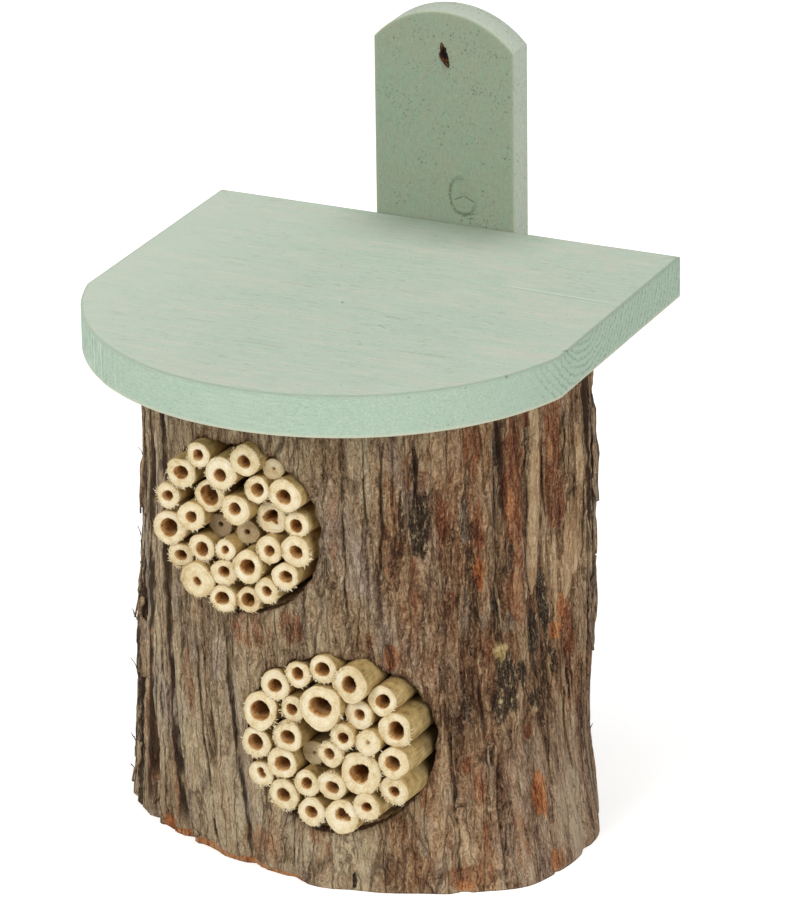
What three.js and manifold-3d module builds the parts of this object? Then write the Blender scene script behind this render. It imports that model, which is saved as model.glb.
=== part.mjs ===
// A bee hotel: a length of log with its bark on, sawn flat at the back, the top and the base.
// Two round pockets drilled from the front are packed with cut lengths of hollow cane.
// A painted roof board lies on the log, and a painted hanging board stands behind both.
// Millimetres, +Z up, the front towards -Y. The origin is the bottom centre of the whole.

import * as THREE from "three";
import { mergeVertices } from "three/addons/utils/BufferGeometryUtils.js";
import Module from "manifold-3d";

const wasm = await Module();
wasm.setup();

// Driving dimensions

const log = {
  height: 175,
  topRadius: 77,
  baseRadius: 78,
  axisToBack: 69, // from the axis to the flat sawn down the back
  flareHeight: 110, // how far up the root swellings run
  barkRelief: 1.3,
  furrowDepth: 2.2,
  furrowWidth: 7,
  furrowFade: 12, // over which a furrow runs out at its ends
  wallBehind: 48, // wood left behind the pockets
};

// Swellings and hollows of the trunk at its foot: where, how far, and how wide
const rootLobes = [
  { direction: -27, reach: 13.5, spread: 27 },
  { direction: -108, reach: -8, spread: 28 },
  { direction: -160, reach: 5, spread: 20 },
];

// Where the trunk is a little fuller or slimmer: how far, how wide, how high up and over how much of its height
const trunkSwells = [
  { direction: -152, reach: -2.4, spread: 24, levelShare: 0.8, climbShare: 0.34 },
  { direction: 4, reach: 3.4, spread: 26, levelShare: 0, climbShare: 0.126 },
  { direction: 26, reach: 1.2, spread: 14, levelShare: 0.74, climbShare: 0.34 },
];

// Long furrows of the bark: direction at the top and at the foot, where they start and end
// as shares of the log's height, and how deep they are as a share of the furrow depth
const furrowShares = [
  [-236, -234, 0, 1, 0.8],
  [-223, -224, 0, 1, 0.9],
  [-212, -211, 0.1, 1, 0.7],
  [-200, -199, 0, 0.9, 0.9],
  [-189, -190, 0, 1, 0.7],
  [-178, -177, 0, 1, 0.9],
  [-167, -167, 0, 1, 0.8],
  [-155, -154, 0, 1, 0.8],
  [-141, -140.5, 0, 1, 1],
  [-127, -125.5, 0, 1, 1],
  [-115, -113, 0.07, 0.5, 0.45],
  [-104, -100, 0, 0.55, 0.6],
  [-85, -86, 0, 0.2, 0.5],
  [-71, -70, 0.53, 0.97, 0.5],
  [-52, -50, 0.64, 0.97, 0.6],
  [-44.5, -44, 0, 0.26, 0.5],
  [-29.5, -30, 0.55, 1, 0.6],
  [-13, -12, 0.51, 1, 0.5],
  [-9, -8, 0, 0.35, 0.5],
  [2.6, 4.4, 0.5, 1, 1],
  [10, 9, 0, 1, 0.8],
  [17, 16, 0, 1, 0.9],
  [24, 23, 0, 1, 0.9],
  [34, 35, 0, 1, 0.7],
  [45, 44, 0, 1, 0.9],
  [54, 55, 0, 1, 0.8],
];

// Bark ridges around the trunk: how many, their share of the relief, and their phase and lean in degrees
const ridgeShares = [
  [9, 0.4, 20, 25],
  [14, 0.34, 130, -40],
  [23, 0.26, 75, 60],
];

// The pockets' places: sideShare is of the log's radius, and heightShare of its height
const upperPocket = { radius: 31.5, sideShare: -0.167, heightShare: 0.74 };
const lowerPocket = { radius: 33, sideShare: 0.26, heightShare: 0.314 };

const roof = {
  width: 176,
  depth: 171,
  sideLength: 103, // straight sides, before the round front
  thickness: 15,
};

const hangingBoard = {
  width: 53,
  thickness: 12,
  rise: 77, // above the top of the roof
  archRise: 12,
  offCentre: -0.8,
  footGap: 12, // above the log's base
  nailRadius: 2.5,
  nailBelowCrown: 16,
};

const screw = {
  length: 45,
  radius: 2,
  headRadius: 4,
  headHeight: 2.6,
  point: 5,
  slotLength: 4.4,
  slotWidth: 0.9,
  slotDepth: 1.6,
};
const logScrewHeightShare = 0.2;

const caneGap = 0.3; // between canes, and between a cane and its pocket
const screwClearance = 0.3;
const caneScatter = 6; // how unevenly the canes stand out
const caneNode = 3; // the closed joint at the back end of a cane
const overrun = 5; // how far a cutter runs past what it cuts

// Each cane: its place from the pocket's centre, x then z, and its radius, as shares of the
// pocket's radius, its bore as a share of its own radius, and its share of the scatter.
// A cane with no bore is closed by its joint at the front.
const upperCaneShares = [
  [-0.36, 0.77, 0.132, 0.45, 0.2],
  [0.21, 0.83, 0.172, 0.42, 0.3],
  [-0.58, 0.52, 0.166, 0.45, 0.1],
  [-0.08, 0.59, 0.173, 0.39, 0.3],
  [0.45, 0.72, 0.112, 0, -0.3],
  [-0.75, 0.23, 0.136, 0.44, 0],
  [-0.28, 0.29, 0.158, 0.67, -0.1],
  [0.33, 0.48, 0.135, 0.53, 0.2],
  [0.66, 0.48, 0.179, 0.46, 0.3],
  [0.08, 0.22, 0.158, 0.43, 0.3],
  [-0.42, 0.05, 0.151, 0.4, 0.2],
  [-0.71, -0.12, 0.182, 0.52, 0],
  [-0.24, -0.11, 0.113, 0.27, -0.9],
  [0.43, 0.11, 0.165, 0.45, -0.5],
  [0.76, 0.11, 0.135, 0.53, -0.1],
  [0.08, -0.16, 0.128, 0.24, -0.8],
  [-0.36, -0.31, 0.144, 0.53, -0.1],
  [-0.07, -0.29, 0.113, 0.37, 0.1],
  [0.43, -0.21, 0.143, 0.4, 0.1],
  [0.74, -0.18, 0.158, 0.43, 0],
  [-0.63, -0.47, 0.137, 0.47, -0.2],
  [0.21, -0.39, 0.173, 0.52, 0.3],
  [-0.1, -0.51, 0.144, 0.44, 0.1],
  [-0.38, -0.66, 0.182, 0.25, 0.2],
  [0.62, -0.47, 0.15, 0.45, 0.1],
  [-0.09, -0.8, 0.144, 0.51, 0.2],
  [0.39, -0.67, 0.136, 0.39, 0.2],
  [0.19, -0.8, 0.136, 0.56, 0],
];

const lowerCaneShares = [
  [-0.3, 0.74, 0.136, 0.47, 0],
  [0.01, 0.81, 0.143, 0.55, 0],
  [-0.55, 0.55, 0.152, 0.48, -0.1],
  [0.36, 0.75, 0.188, 0.44, 0.2],
  [-0.73, 0.25, 0.183, 0.57, 0],
  [-0.38, 0.34, 0.134, 0.45, 0],
  [0.03, 0.45, 0.227, 0.5, 0.4],
  [0.66, 0.61, 0.151, 0.48, 0.1],
  [0.41, 0.43, 0.143, 0.4, 0.3],
  [0.8, 0.34, 0.173, 0.54, 0.1],
  [-0.79, -0.11, 0.16, 0.52, 0],
  [-0.41, 0.04, 0.16, 0.48, 0.2],
  [0.23, 0.18, 0.129, 0.45, 0.3],
  [0.45, 0.09, 0.136, 0, -0.3],
  [-0.26, -0.23, 0.122, 0, -0.9],
  [0.08, -0.06, 0.137, 0.42, 0.2],
  [-0.47, -0.28, 0.16, 0.5, 0.1],
  [0.77, -0.02, 0.151, 0.5, 0.1],
  [0.41, -0.2, 0.22, 0.47, 0.4],
  [-0.73, -0.45, 0.13, 0.45, 0],
  [-0.21, -0.44, 0.13, 0.47, 0.1],
  [0.1, -0.43, 0.152, 0.45, 0.2],
  [0.77, -0.35, 0.144, 0.37, 0],
  [-0.47, -0.64, 0.168, 0.45, 0.1],
  [0.46, -0.59, 0.137, 0.37, 0],
  [-0.15, -0.76, 0.145, 0.44, 0.2],
  [0.2, -0.73, 0.167, 0.38, 0.3],
];

const pockets = [
  { name: "upper", canes: upperCaneShares, ...upperPocket },
  { name: "lower", canes: lowerCaneShares, ...lowerPocket },
];

const sides = { trunk: 200, levels: 14, pocket: 48, cane: 12, screw: 16, arc: 40 };
const weld = 1e-4;
const settleRounds = 200;

const colours = {
  bark: 0x6b5443,
  paintedRoof: 0xb5cdbb,
  paintedBoard: 0x9bae98,
  cane: 0xe3cf9c,
  steel: 0xb9bcc0,
};

// Small helpers

function finish(colour, roughness, metalness = 0) {
  return new THREE.MeshStandardMaterial({ color: colour, roughness, metalness });
}

function named(name, geometry, material) {
  const mesh = new THREE.Mesh(geometry, material);
  mesh.name = name;
  return mesh;
}

function solidOf(geometry) {
  const bare = new THREE.BufferGeometry();
  bare.setAttribute("position", geometry.getAttribute("position"));
  bare.setIndex(geometry.getIndex());
  const merged = mergeVertices(bare, weld);
  return new wasm.Manifold(
    new wasm.Mesh({
      numProp: 3,
      vertProperties: merged.getAttribute("position").array,
      triVerts: new Uint32Array(merged.getIndex().array),
    }),
  );
}

function geometryOf(solid) {
  const made = solid.getMesh();
  const geometry = new THREE.BufferGeometry();
  geometry.setAttribute("position", new THREE.BufferAttribute(made.vertProperties, 3));
  geometry.setIndex(new THREE.BufferAttribute(made.triVerts, 1));
  geometry.computeVertexNormals();
  return geometry;
}

function without(geometry, cutters) {
  const cut = cutters.reduce((left, cutter) => left.subtract(solidOf(cutter)), solidOf(geometry));
  return geometryOf(cut);
}

// The radius of an arc from its chord and its rise
function arcRadius(chord, rise) {
  return ((chord / 2) ** 2 + rise ** 2) / (2 * rise);
}

// The log. Its axis stands at x = 0, and y = 0 is the flat down its back.

function turnFrom(direction, angle) {
  return THREE.MathUtils.euclideanModulo(angle - direction + 180, 360) - 180;
}

function rootReach(angle, height) {
  const fade = Math.max(0, 1 - height / log.flareHeight) ** 1.5;
  const lobes = rootLobes.map(
    ({ direction, reach, spread }) => reach * Math.exp(-((turnFrom(direction, angle) / spread) ** 2)),
  );
  return fade * lobes.reduce((sum, lobe) => sum + lobe, 0);
}

function swellReach(angle, height) {
  const climb = height / log.height;
  const swells = trunkSwells.map(({ direction, reach, spread, levelShare, climbShare }) => {
    const aside = turnFrom(direction, angle) / spread;
    const above = (climb - levelShare) / climbShare;
    return reach * Math.exp(-(aside ** 2) - above ** 2);
  });
  return swells.reduce((sum, swell) => sum + swell, 0);
}

// How far the deepest furrow at this place is cut in
function furrowCut(angle, height) {
  const { smoothstep, lerp, clamp, degToRad } = THREE.MathUtils;
  const climb = height / log.height;
  const fade = log.furrowFade / log.height;
  const cuts = furrowShares.map(([top, foot, start, end, share]) => {
    const run = clamp((climb - start) / (end - start), 0, 1);
    const across = degToRad(Math.abs(turnFrom(lerp(foot, top, run), angle))) * log.baseRadius;
    const startFade = start > 0 ? smoothstep(climb, start, start + fade) : 1;
    const endFade = end < 1 ? 1 - smoothstep(climb, end - fade, end) : 1;
    return share * startFade * endFade * Math.max(0, 1 - across / (log.furrowWidth / 2));
  });
  return log.furrowDepth * Math.max(...cuts);
}

function barkReach(angle, height) {
  const climb = height / log.height;
  const ridges = ridgeShares.map(
    ([count, share, phase, lean]) =>
      share * Math.sin(THREE.MathUtils.degToRad(count * angle + phase + lean * climb)),
  );
  return log.barkRelief * ridges.reduce((sum, ridge) => sum + ridge, 0);
}

function trunkPoint(angle, height) {
  const plain = THREE.MathUtils.lerp(log.baseRadius, log.topRadius, height / log.height);
  const swollen = plain + rootReach(angle, height) + swellReach(angle, height);
  const radius = swollen + barkReach(angle, height) - furrowCut(angle, height);
  const turn = THREE.MathUtils.degToRad(angle);
  const y = radius * Math.sin(turn) - log.axisToBack;
  return [radius * Math.cos(turn), Math.min(y, 0), height];
}

function trunk() {
  const points = [];
  for (let level = 0; level <= sides.levels; level++)
    for (let side = 0; side < sides.trunk; side++)
      points.push(...trunkPoint((360 * side) / sides.trunk, (log.height * level) / sides.levels));
  points.push(0, -log.axisToBack, 0, 0, -log.axisToBack, log.height);

  const at = (level, side) => level * sides.trunk + (side % sides.trunk);
  const baseCentre = at(sides.levels + 1, 0);
  const topCentre = baseCentre + 1;
  const faces = [];
  for (let side = 0; side < sides.trunk; side++) {
    faces.push(baseCentre, at(0, side + 1), at(0, side));
    faces.push(topCentre, at(sides.levels, side), at(sides.levels, side + 1));
    for (let level = 0; level < sides.levels; level++) {
      faces.push(at(level, side), at(level, side + 1), at(level + 1, side + 1));
      faces.push(at(level, side), at(level + 1, side + 1), at(level + 1, side));
    }
  }
  const geometry = new THREE.BufferGeometry();
  geometry.setAttribute("position", new THREE.Float32BufferAttribute(points, 3));
  geometry.setIndex(faces);
  return geometry;
}

const logFront = log.axisToBack + log.baseRadius;

function pocketCentre(pocket) {
  return new THREE.Vector3(pocket.sideShare * log.baseRadius, 0, pocket.heightShare * log.height);
}

function pocketBore(pocket) {
  const far = logFront + log.baseRadius;
  const depth = far - log.wallBehind;
  const bore = new THREE.CylinderGeometry(pocket.radius, pocket.radius, depth, sides.pocket);
  const { x, z } = pocketCentre(pocket);
  return bore.translate(x, -(far + log.wallBehind) / 2, z);
}

// Canes. They lie along Y, with their front ends towards -Y and their back ends on the pocket's floor.

// Moves the canes apart, and in from the pocket's wall, until each has its gap
function settled(pocket) {
  const canes = pocket.canes.map(([x, z, radius, bore, out]) => ({
    place: new THREE.Vector2(x, z).multiplyScalar(pocket.radius),
    radius: radius * pocket.radius,
    bore,
    out,
  }));
  for (let round = 0; round < settleRounds; round++) {
    canes.forEach((cane, i) => {
      canes.slice(i + 1).forEach((other) => {
        const apart = other.place.clone().sub(cane.place);
        const short = cane.radius + other.radius + caneGap - apart.length();
        if (short <= 0) return;
        apart.setLength(short / 2);
        cane.place.sub(apart);
        other.place.add(apart);
      });
      const reach = pocket.radius - caneGap - cane.radius;
      cane.place.clampLength(0, Math.max(reach, 0));
    });
  }
  return canes.map((cane) => ({ ...cane, radius: roomFor(cane, canes, pocket) }));
}

// A cane keeps its radius unless a neighbour or the pocket still leaves it less room
function roomFor(cane, canes, pocket) {
  const shared = canes
    .filter((other) => other !== cane)
    .map((other) => {
      const free = other.place.distanceTo(cane.place) - caneGap;
      return (free * cane.radius) / (cane.radius + other.radius);
    });
  return Math.min(cane.radius, pocket.radius - caneGap - cane.place.length(), ...shared);
}

function caneGeometry(cane) {
  const front = -(logFront + cane.out * caneScatter);
  const back = -(log.wallBehind + caneGap);
  const bore = cane.bore * cane.radius;
  const outline = [new THREE.Vector2(0, back), new THREE.Vector2(cane.radius, back)];
  outline.push(new THREE.Vector2(cane.radius, front));
  if (bore > 0) {
    outline.push(new THREE.Vector2(bore, front));
    outline.push(new THREE.Vector2(bore, back - caneNode));
    outline.push(new THREE.Vector2(0, back - caneNode));
  } else {
    outline.push(new THREE.Vector2(0, front));
  }
  return new THREE.LatheGeometry(outline.reverse(), sides.cane);
}

function canesOf(pocket, material) {
  const centre = pocketCentre(pocket);
  return settled(pocket).map((cane, i) => {
    const number = String(i + 1).padStart(2, "0");
    const mesh = named("cane_" + pocket.name + "_" + number, caneGeometry(cane), material);
    mesh.position.set(centre.x + cane.place.x, 0, centre.z + cane.place.y);
    return mesh;
  });
}

// Screws. They go in from the back of the hanging board, with their heads level with it.

function screwBody(grow) {
  const tip = hangingBoard.thickness - screw.length - grow;
  const radius = screw.radius + grow;
  const neck = hangingBoard.thickness - screw.headHeight;
  const outline = [
    new THREE.Vector2(0, tip),
    new THREE.Vector2(radius, tip + screw.point),
    new THREE.Vector2(radius, neck),
    new THREE.Vector2(screw.headRadius + grow, hangingBoard.thickness),
  ];
  if (grow > 0) {
    outline.push(new THREE.Vector2(screw.headRadius + grow, hangingBoard.thickness + overrun));
    outline.push(new THREE.Vector2(0, hangingBoard.thickness + overrun));
  } else {
    outline.push(new THREE.Vector2(0, hangingBoard.thickness));
  }
  return new THREE.LatheGeometry(outline, sides.screw);
}

function driveSlot(turn) {
  const depth = screw.slotDepth + overrun;
  const slot = new THREE.BoxGeometry(screw.slotLength, depth, screw.slotWidth);
  const middle = hangingBoard.thickness - screw.slotDepth + depth / 2;
  return slot.rotateY(turn).translate(0, middle, 0);
}

function screwGeometry() {
  return without(screwBody(0), [driveSlot(0), driveSlot(Math.PI / 2)]);
}

const screwPlaces = {
  board_screw_roof: new THREE.Vector3(hangingBoard.offCentre, 0, log.height + roof.thickness / 2),
  board_screw_log: new THREE.Vector3(hangingBoard.offCentre, 0, log.height * logScrewHeightShare),
};

function screwHole(name) {
  return screwBody(screwClearance).translate(...screwPlaces[name].toArray());
}

// Boards

function roofGeometry() {
  const half = roof.width / 2;
  const radius = arcRadius(roof.width, roof.depth - roof.sideLength);
  const centre = radius - roof.depth;
  const meet = Math.atan2(-roof.sideLength - centre, half);
  const outline = new THREE.Shape();
  outline.moveTo(half, 0);
  outline.lineTo(-half, 0);
  outline.lineTo(-half, -roof.sideLength);
  outline.absarc(0, centre, radius, -Math.PI - meet, meet, false);
  outline.closePath();
  const board = new THREE.ExtrudeGeometry(outline, {
    depth: roof.thickness,
    bevelEnabled: false,
    curveSegments: sides.arc,
  });
  return without(board.translate(0, 0, log.height), [screwHole("board_screw_roof")]);
}

function hangingBoardGeometry() {
  const half = hangingBoard.width / 2;
  const crown = log.height + roof.thickness + hangingBoard.rise;
  const radius = arcRadius(hangingBoard.width, hangingBoard.archRise);
  const centre = crown - radius;
  const meet = Math.atan2(radius - hangingBoard.archRise, half);
  const outline = new THREE.Shape();
  outline.moveTo(-half, hangingBoard.footGap);
  outline.lineTo(half, hangingBoard.footGap);
  outline.absarc(0, centre, radius, meet, Math.PI - meet, false);
  outline.closePath();
  const nailHole = new THREE.Path();
  nailHole.absarc(0, crown - hangingBoard.nailBelowCrown, hangingBoard.nailRadius, 0, 2 * Math.PI, true);
  outline.holes.push(nailHole);
  const board = new THREE.ExtrudeGeometry(outline, {
    depth: hangingBoard.thickness,
    bevelEnabled: false,
    curveSegments: sides.arc / 2,
  });
  board.rotateX(Math.PI / 2).translate(hangingBoard.offCentre, hangingBoard.thickness, 0);
  return without(board, Object.keys(screwPlaces).map(screwHole));
}

// The assembly

const hotel = new THREE.Group();
hotel.position.y = (roof.depth - hangingBoard.thickness) / 2;

const cane = finish(colours.cane, 0.7);
const steel = finish(colours.steel, 0.35, 1);

const logCutters = [...pockets.map(pocketBore), screwHole("board_screw_log")];
hotel.add(named("log", without(trunk(), logCutters), finish(colours.bark, 0.95)));
hotel.add(named("roof_board", roofGeometry(), finish(colours.paintedRoof, 0.75)));
hotel.add(named("hanging_board", hangingBoardGeometry(), finish(colours.paintedBoard, 0.75)));
pockets.forEach((pocket) => hotel.add(...canesOf(pocket, cane)));
Object.entries(screwPlaces).forEach(([name, place]) => {
  const mesh = named(name, screwGeometry(), steel);
  mesh.position.copy(place);
  hotel.add(mesh);
});

const beeHotel = new THREE.Group();
beeHotel.add(hotel);

export default beeHotel;
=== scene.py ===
import math
from functools import partial

import bpy
import numpy as np
from mathutils import Matrix, Vector


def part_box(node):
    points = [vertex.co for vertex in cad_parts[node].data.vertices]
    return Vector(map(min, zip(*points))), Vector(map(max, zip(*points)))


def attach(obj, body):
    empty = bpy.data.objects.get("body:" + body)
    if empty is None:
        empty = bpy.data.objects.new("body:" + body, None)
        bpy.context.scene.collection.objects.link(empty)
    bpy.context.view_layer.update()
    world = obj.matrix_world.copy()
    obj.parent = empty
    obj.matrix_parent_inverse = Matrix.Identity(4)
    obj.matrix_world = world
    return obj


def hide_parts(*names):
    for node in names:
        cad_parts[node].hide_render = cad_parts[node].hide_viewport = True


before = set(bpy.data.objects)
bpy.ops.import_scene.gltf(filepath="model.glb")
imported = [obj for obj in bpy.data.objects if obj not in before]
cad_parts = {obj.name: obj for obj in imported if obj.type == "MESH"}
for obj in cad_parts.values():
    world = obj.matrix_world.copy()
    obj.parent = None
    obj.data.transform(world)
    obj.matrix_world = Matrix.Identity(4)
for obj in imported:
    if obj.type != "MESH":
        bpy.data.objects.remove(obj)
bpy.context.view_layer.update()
mm = 0.001
perMetre = 1000.0  # turns object coordinates into millimetres inside the materials


# Small tools

def fromHex(code):
    parts = [int(code[i:i + 2], 16) / 255 for i in (1, 3, 5)]
    return [p / 12.92 if p <= 0.04045 else ((p + 0.055) / 1.055) ** 2.4 for p in parts] + [1.0]


def addNode(tree, kind, links=None, stops=None, **settings):
    made = tree.nodes.new("ShaderNode" + kind)
    for name, value in settings.items():
        setattr(made, name, value)
    for place, (where, colour) in enumerate(stops or []):
        elements = made.color_ramp.elements
        if place == 0:
            elements.remove(elements[1])
            elements[0].position = where
            elements[0].color = fromHex(colour)
        else:
            elements.new(where).color = fromHex(colour)
    for socket, value in (links or {}).items():
        if isinstance(value, bpy.types.Node):
            value = next(output for output in value.outputs if output.enabled)
        if isinstance(value, bpy.types.NodeSocket):
            tree.links.new(value, made.inputs[socket])
        else:
            made.inputs[socket].default_value = value
    return made


def newMaterial(name):
    material = bpy.data.materials.new(name)
    material.use_nodes = True
    tree = material.node_tree
    tree.nodes.clear()
    shader = addNode(tree, "BsdfPrincipled")
    addNode(tree, "OutputMaterial", {"Surface": shader})
    coords = addNode(tree, "TexCoord").outputs["Object"]
    inMm = addNode(tree, "VectorMath", {0: coords, "Scale": perMetre}, operation="SCALE")
    return material, tree, shader, inMm


# The grains of one finish: noises, each stretched by so much per millimetre
def makeGrains(tree, vector, table):
    grains = {}
    for name, (stretch, detail, roughness) in table.items():
        pulled = addNode(tree, "VectorMath", {0: vector, 1: stretch}, operation="MULTIPLY")
        grains[name] = addNode(tree, "TexNoise", {
            "Vector": pulled, "Scale": 1.0, "Detail": detail, "Roughness": roughness})
    return grains


# Rings about an axis, from -1 to 1, swaying by the given grain
def growthRings(tree, inMm, centre, flatten, sway, bend, spacing):
    away = addNode(tree, "VectorMath", {0: inMm, 1: [-c for c in centre]}, operation="ADD")
    flat = addNode(tree, "VectorMath", {0: away, 1: flatten}, operation="MULTIPLY")
    radius = addNode(tree, "VectorMath", {0: flat}, operation="LENGTH").outputs["Value"]
    bent = addNode(tree, "Math", {0: sway, 1: bend, 2: radius}, operation="MULTIPLY_ADD")
    turns = addNode(tree, "Math", {0: bent, 1: 2 * math.pi / spacing}, operation="MULTIPLY")
    return addNode(tree, "Math", {0: turns}, operation="SINE")


# Several conditions in one share. Each is a share itself, or a value with where it starts and is full,
# and at times the shares there.
def whereAll(tree, conditions):
    share = None
    for part in conditions:
        if isinstance(part, tuple):
            value, start, full, least, most = (*part, 0.0, 1.0)[:5]
            part = addNode(tree, "MapRange", {
                "Value": value, "From Min": start, "From Max": full, "To Min": least, "To Max": most})
        share = part if share is None else addNode(tree, "Math", {0: share, 1: part}, operation="MULTIPLY")
    return share


# Layers laid over each other in turn: where each one shows, and its colour
def layOver(tree, colour, layers):
    for conditions, cover in layers:
        cover = fromHex(cover) if isinstance(cover, str) else cover
        share = whereAll(tree, conditions)
        colour = addNode(tree, "Mix", {0: share, 6: colour, 7: cover}, data_type="RGBA").outputs[2]
    return colour


def dressShader(tree, shader, colour, height, strength, depth, roughness, specular):
    bump = addNode(tree, "Bump", {"Height": height, "Strength": strength, "Distance": depth * mm})
    tree.links.new(colour, shader.inputs["Base Color"])
    tree.links.new(bump.outputs["Normal"], shader.inputs["Normal"])
    shader.inputs["Roughness"].default_value = roughness
    shader.inputs["Specular IOR Level"].default_value = specular


# Value noise on a lattice, from -1 to 1
def softNoise(u, v, seed):
    size = 256
    table = np.random.default_rng(seed).random((size, size)) * 2 - 1
    iu, iv = np.floor(u).astype(int), np.floor(v).astype(int)
    fu, fv = u - iu, v - iv
    fu, fv = fu * fu * (3 - 2 * fu), fv * fv * (3 - 2 * fv)
    low = table[iu % size, iv % size] * (1 - fu) + table[(iu + 1) % size, iv % size] * fu
    high = table[iu % size, (iv + 1) % size] * (1 - fu) + table[(iu + 1) % size, (iv + 1) % size] * fu
    return low * (1 - fv) + high * fv


# The same noise round a ring, so that it meets itself
def ringNoise(turn, size, seed):
    return softNoise(90 + size * np.cos(turn), 90 + size * np.sin(turn), seed)


def layeredNoise(u, v, seed, layers=3):
    total = sum(softNoise(u * 2 ** k, v * 2 ** k, seed + k) / 2 ** k for k in range(layers))
    return total / sum(1 / 2 ** k for k in range(layers))


def smoothStep(low, high, value):
    t = np.clip((value - low) / (high - low), 0, 1)
    return t * t * (3 - 2 * t)


# From one angle to another the short way round, in degrees or with another full turn
def turnedFrom(angle, start, full=360):
    return (angle - start + full / 2) % full - full / 2


# Quads between neighbouring loops of points, each loop closed on itself
def loftFaces(loops, count, first=0):
    ring = np.arange(count)
    after = (ring + 1) % count
    base = first + np.arange(loops - 1)[:, None] * count
    return np.stack([base + ring, base + after, base + count + after, base + count + ring], -1).reshape(-1, 4)


def makePiece(name, points, faces, materials, slots=None, values=None):
    mesh = bpy.data.meshes.new(name)
    mesh.from_pydata(np.asarray(points, float).tolist(), [], [list(map(int, face)) for face in faces])
    for material in materials:
        mesh.materials.append(material)
    if slots is not None:
        mesh.polygons.foreach_set("material_index", np.asarray(slots, np.int32))
    for key, numbers in (values or {}).items():
        attribute = mesh.attributes.new(key, "FLOAT", "POINT")
        attribute.data.foreach_set("value", np.asarray(numbers, np.float32))
    mesh.polygons.foreach_set("use_smooth", np.ones(len(mesh.polygons), bool))
    mesh.update()
    piece = bpy.data.objects.new(name, mesh)
    bpy.context.scene.collection.objects.link(piece)
    return piece


# The log's bark: fibrous, furrowed bark of a young conifer, left on as it grew.
# To the eye it is dry and matte, grey-brown outside and red-brown where flakes have come off.

logShape = {  # millimetres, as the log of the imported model
    "height": 175, "topRadius": 77, "baseRadius": 78, "axisToBack": 69, "flareHeight": 110,
    "barkRelief": 1.3, "wallBehind": 48, "axisY": 10.5,
    "rootLobes": [(-27, 13.5, 27), (-108, -8, 28), (-160, 5, 20)],
    "ridges": [(9, 0.4, 20, 25), (14, 0.34, 130, -40), (23, 0.26, 75, 60)],
    "swells": [(-152, -2.4, 24, 0.8, 0.34), (4, 3.4, 26, 0, 0.126), (26, 1.2, 14, 0.74, 0.34)],
    "furrowDepth": 2.2, "furrowWidth": 7, "furrowFade": 12,
    "furrows": [
        (-236, -234, 0, 1, 0.8), (-223, -224, 0, 1, 0.9), (-212, -211, 0.1, 1, 0.7),
        (-200, -199, 0, 0.9, 0.9), (-189, -190, 0, 1, 0.7), (-178, -177, 0, 1, 0.9),
        (-167, -167, 0, 1, 0.8), (-155, -154, 0, 1, 0.8), (-141, -140.5, 0, 1, 1),
        (-127, -125.5, 0, 1, 1), (-115, -113, 0.07, 0.5, 0.45), (-104, -100, 0, 0.55, 0.6),
        (-85, -86, 0, 0.2, 0.5), (-71, -70, 0.53, 0.97, 0.5), (-52, -50, 0.64, 0.97, 0.6),
        (-44.5, -44, 0, 0.26, 0.5), (-29.5, -30, 0.55, 1, 0.6), (-13, -12, 0.51, 1, 0.5),
        (-9, -8, 0, 0.35, 0.5), (2.6, 4.4, 0.5, 1, 1), (10, 9, 0, 1, 0.8), (17, 16, 0, 1, 0.9),
        (24, 23, 0, 1, 0.9), (34, 35, 0, 1, 0.7), (45, 44, 0, 1, 0.9), (54, 55, 0, 1, 0.8),
    ],
    "barkThickness": 5, "fineStep": 0.47, "coarseStep": 1.1, "rowStep": 0.72,
    "fineFrom": -166, "fineTo": 34,
}

pocketShapes = [  # centre x, centre z and radius, in millimetres
    {"name": "upper", "x": -13.026, "z": 129.5, "radius": 31.5},
    {"name": "lower", "x": 20.28, "z": 54.95, "radius": 33},
]

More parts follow.
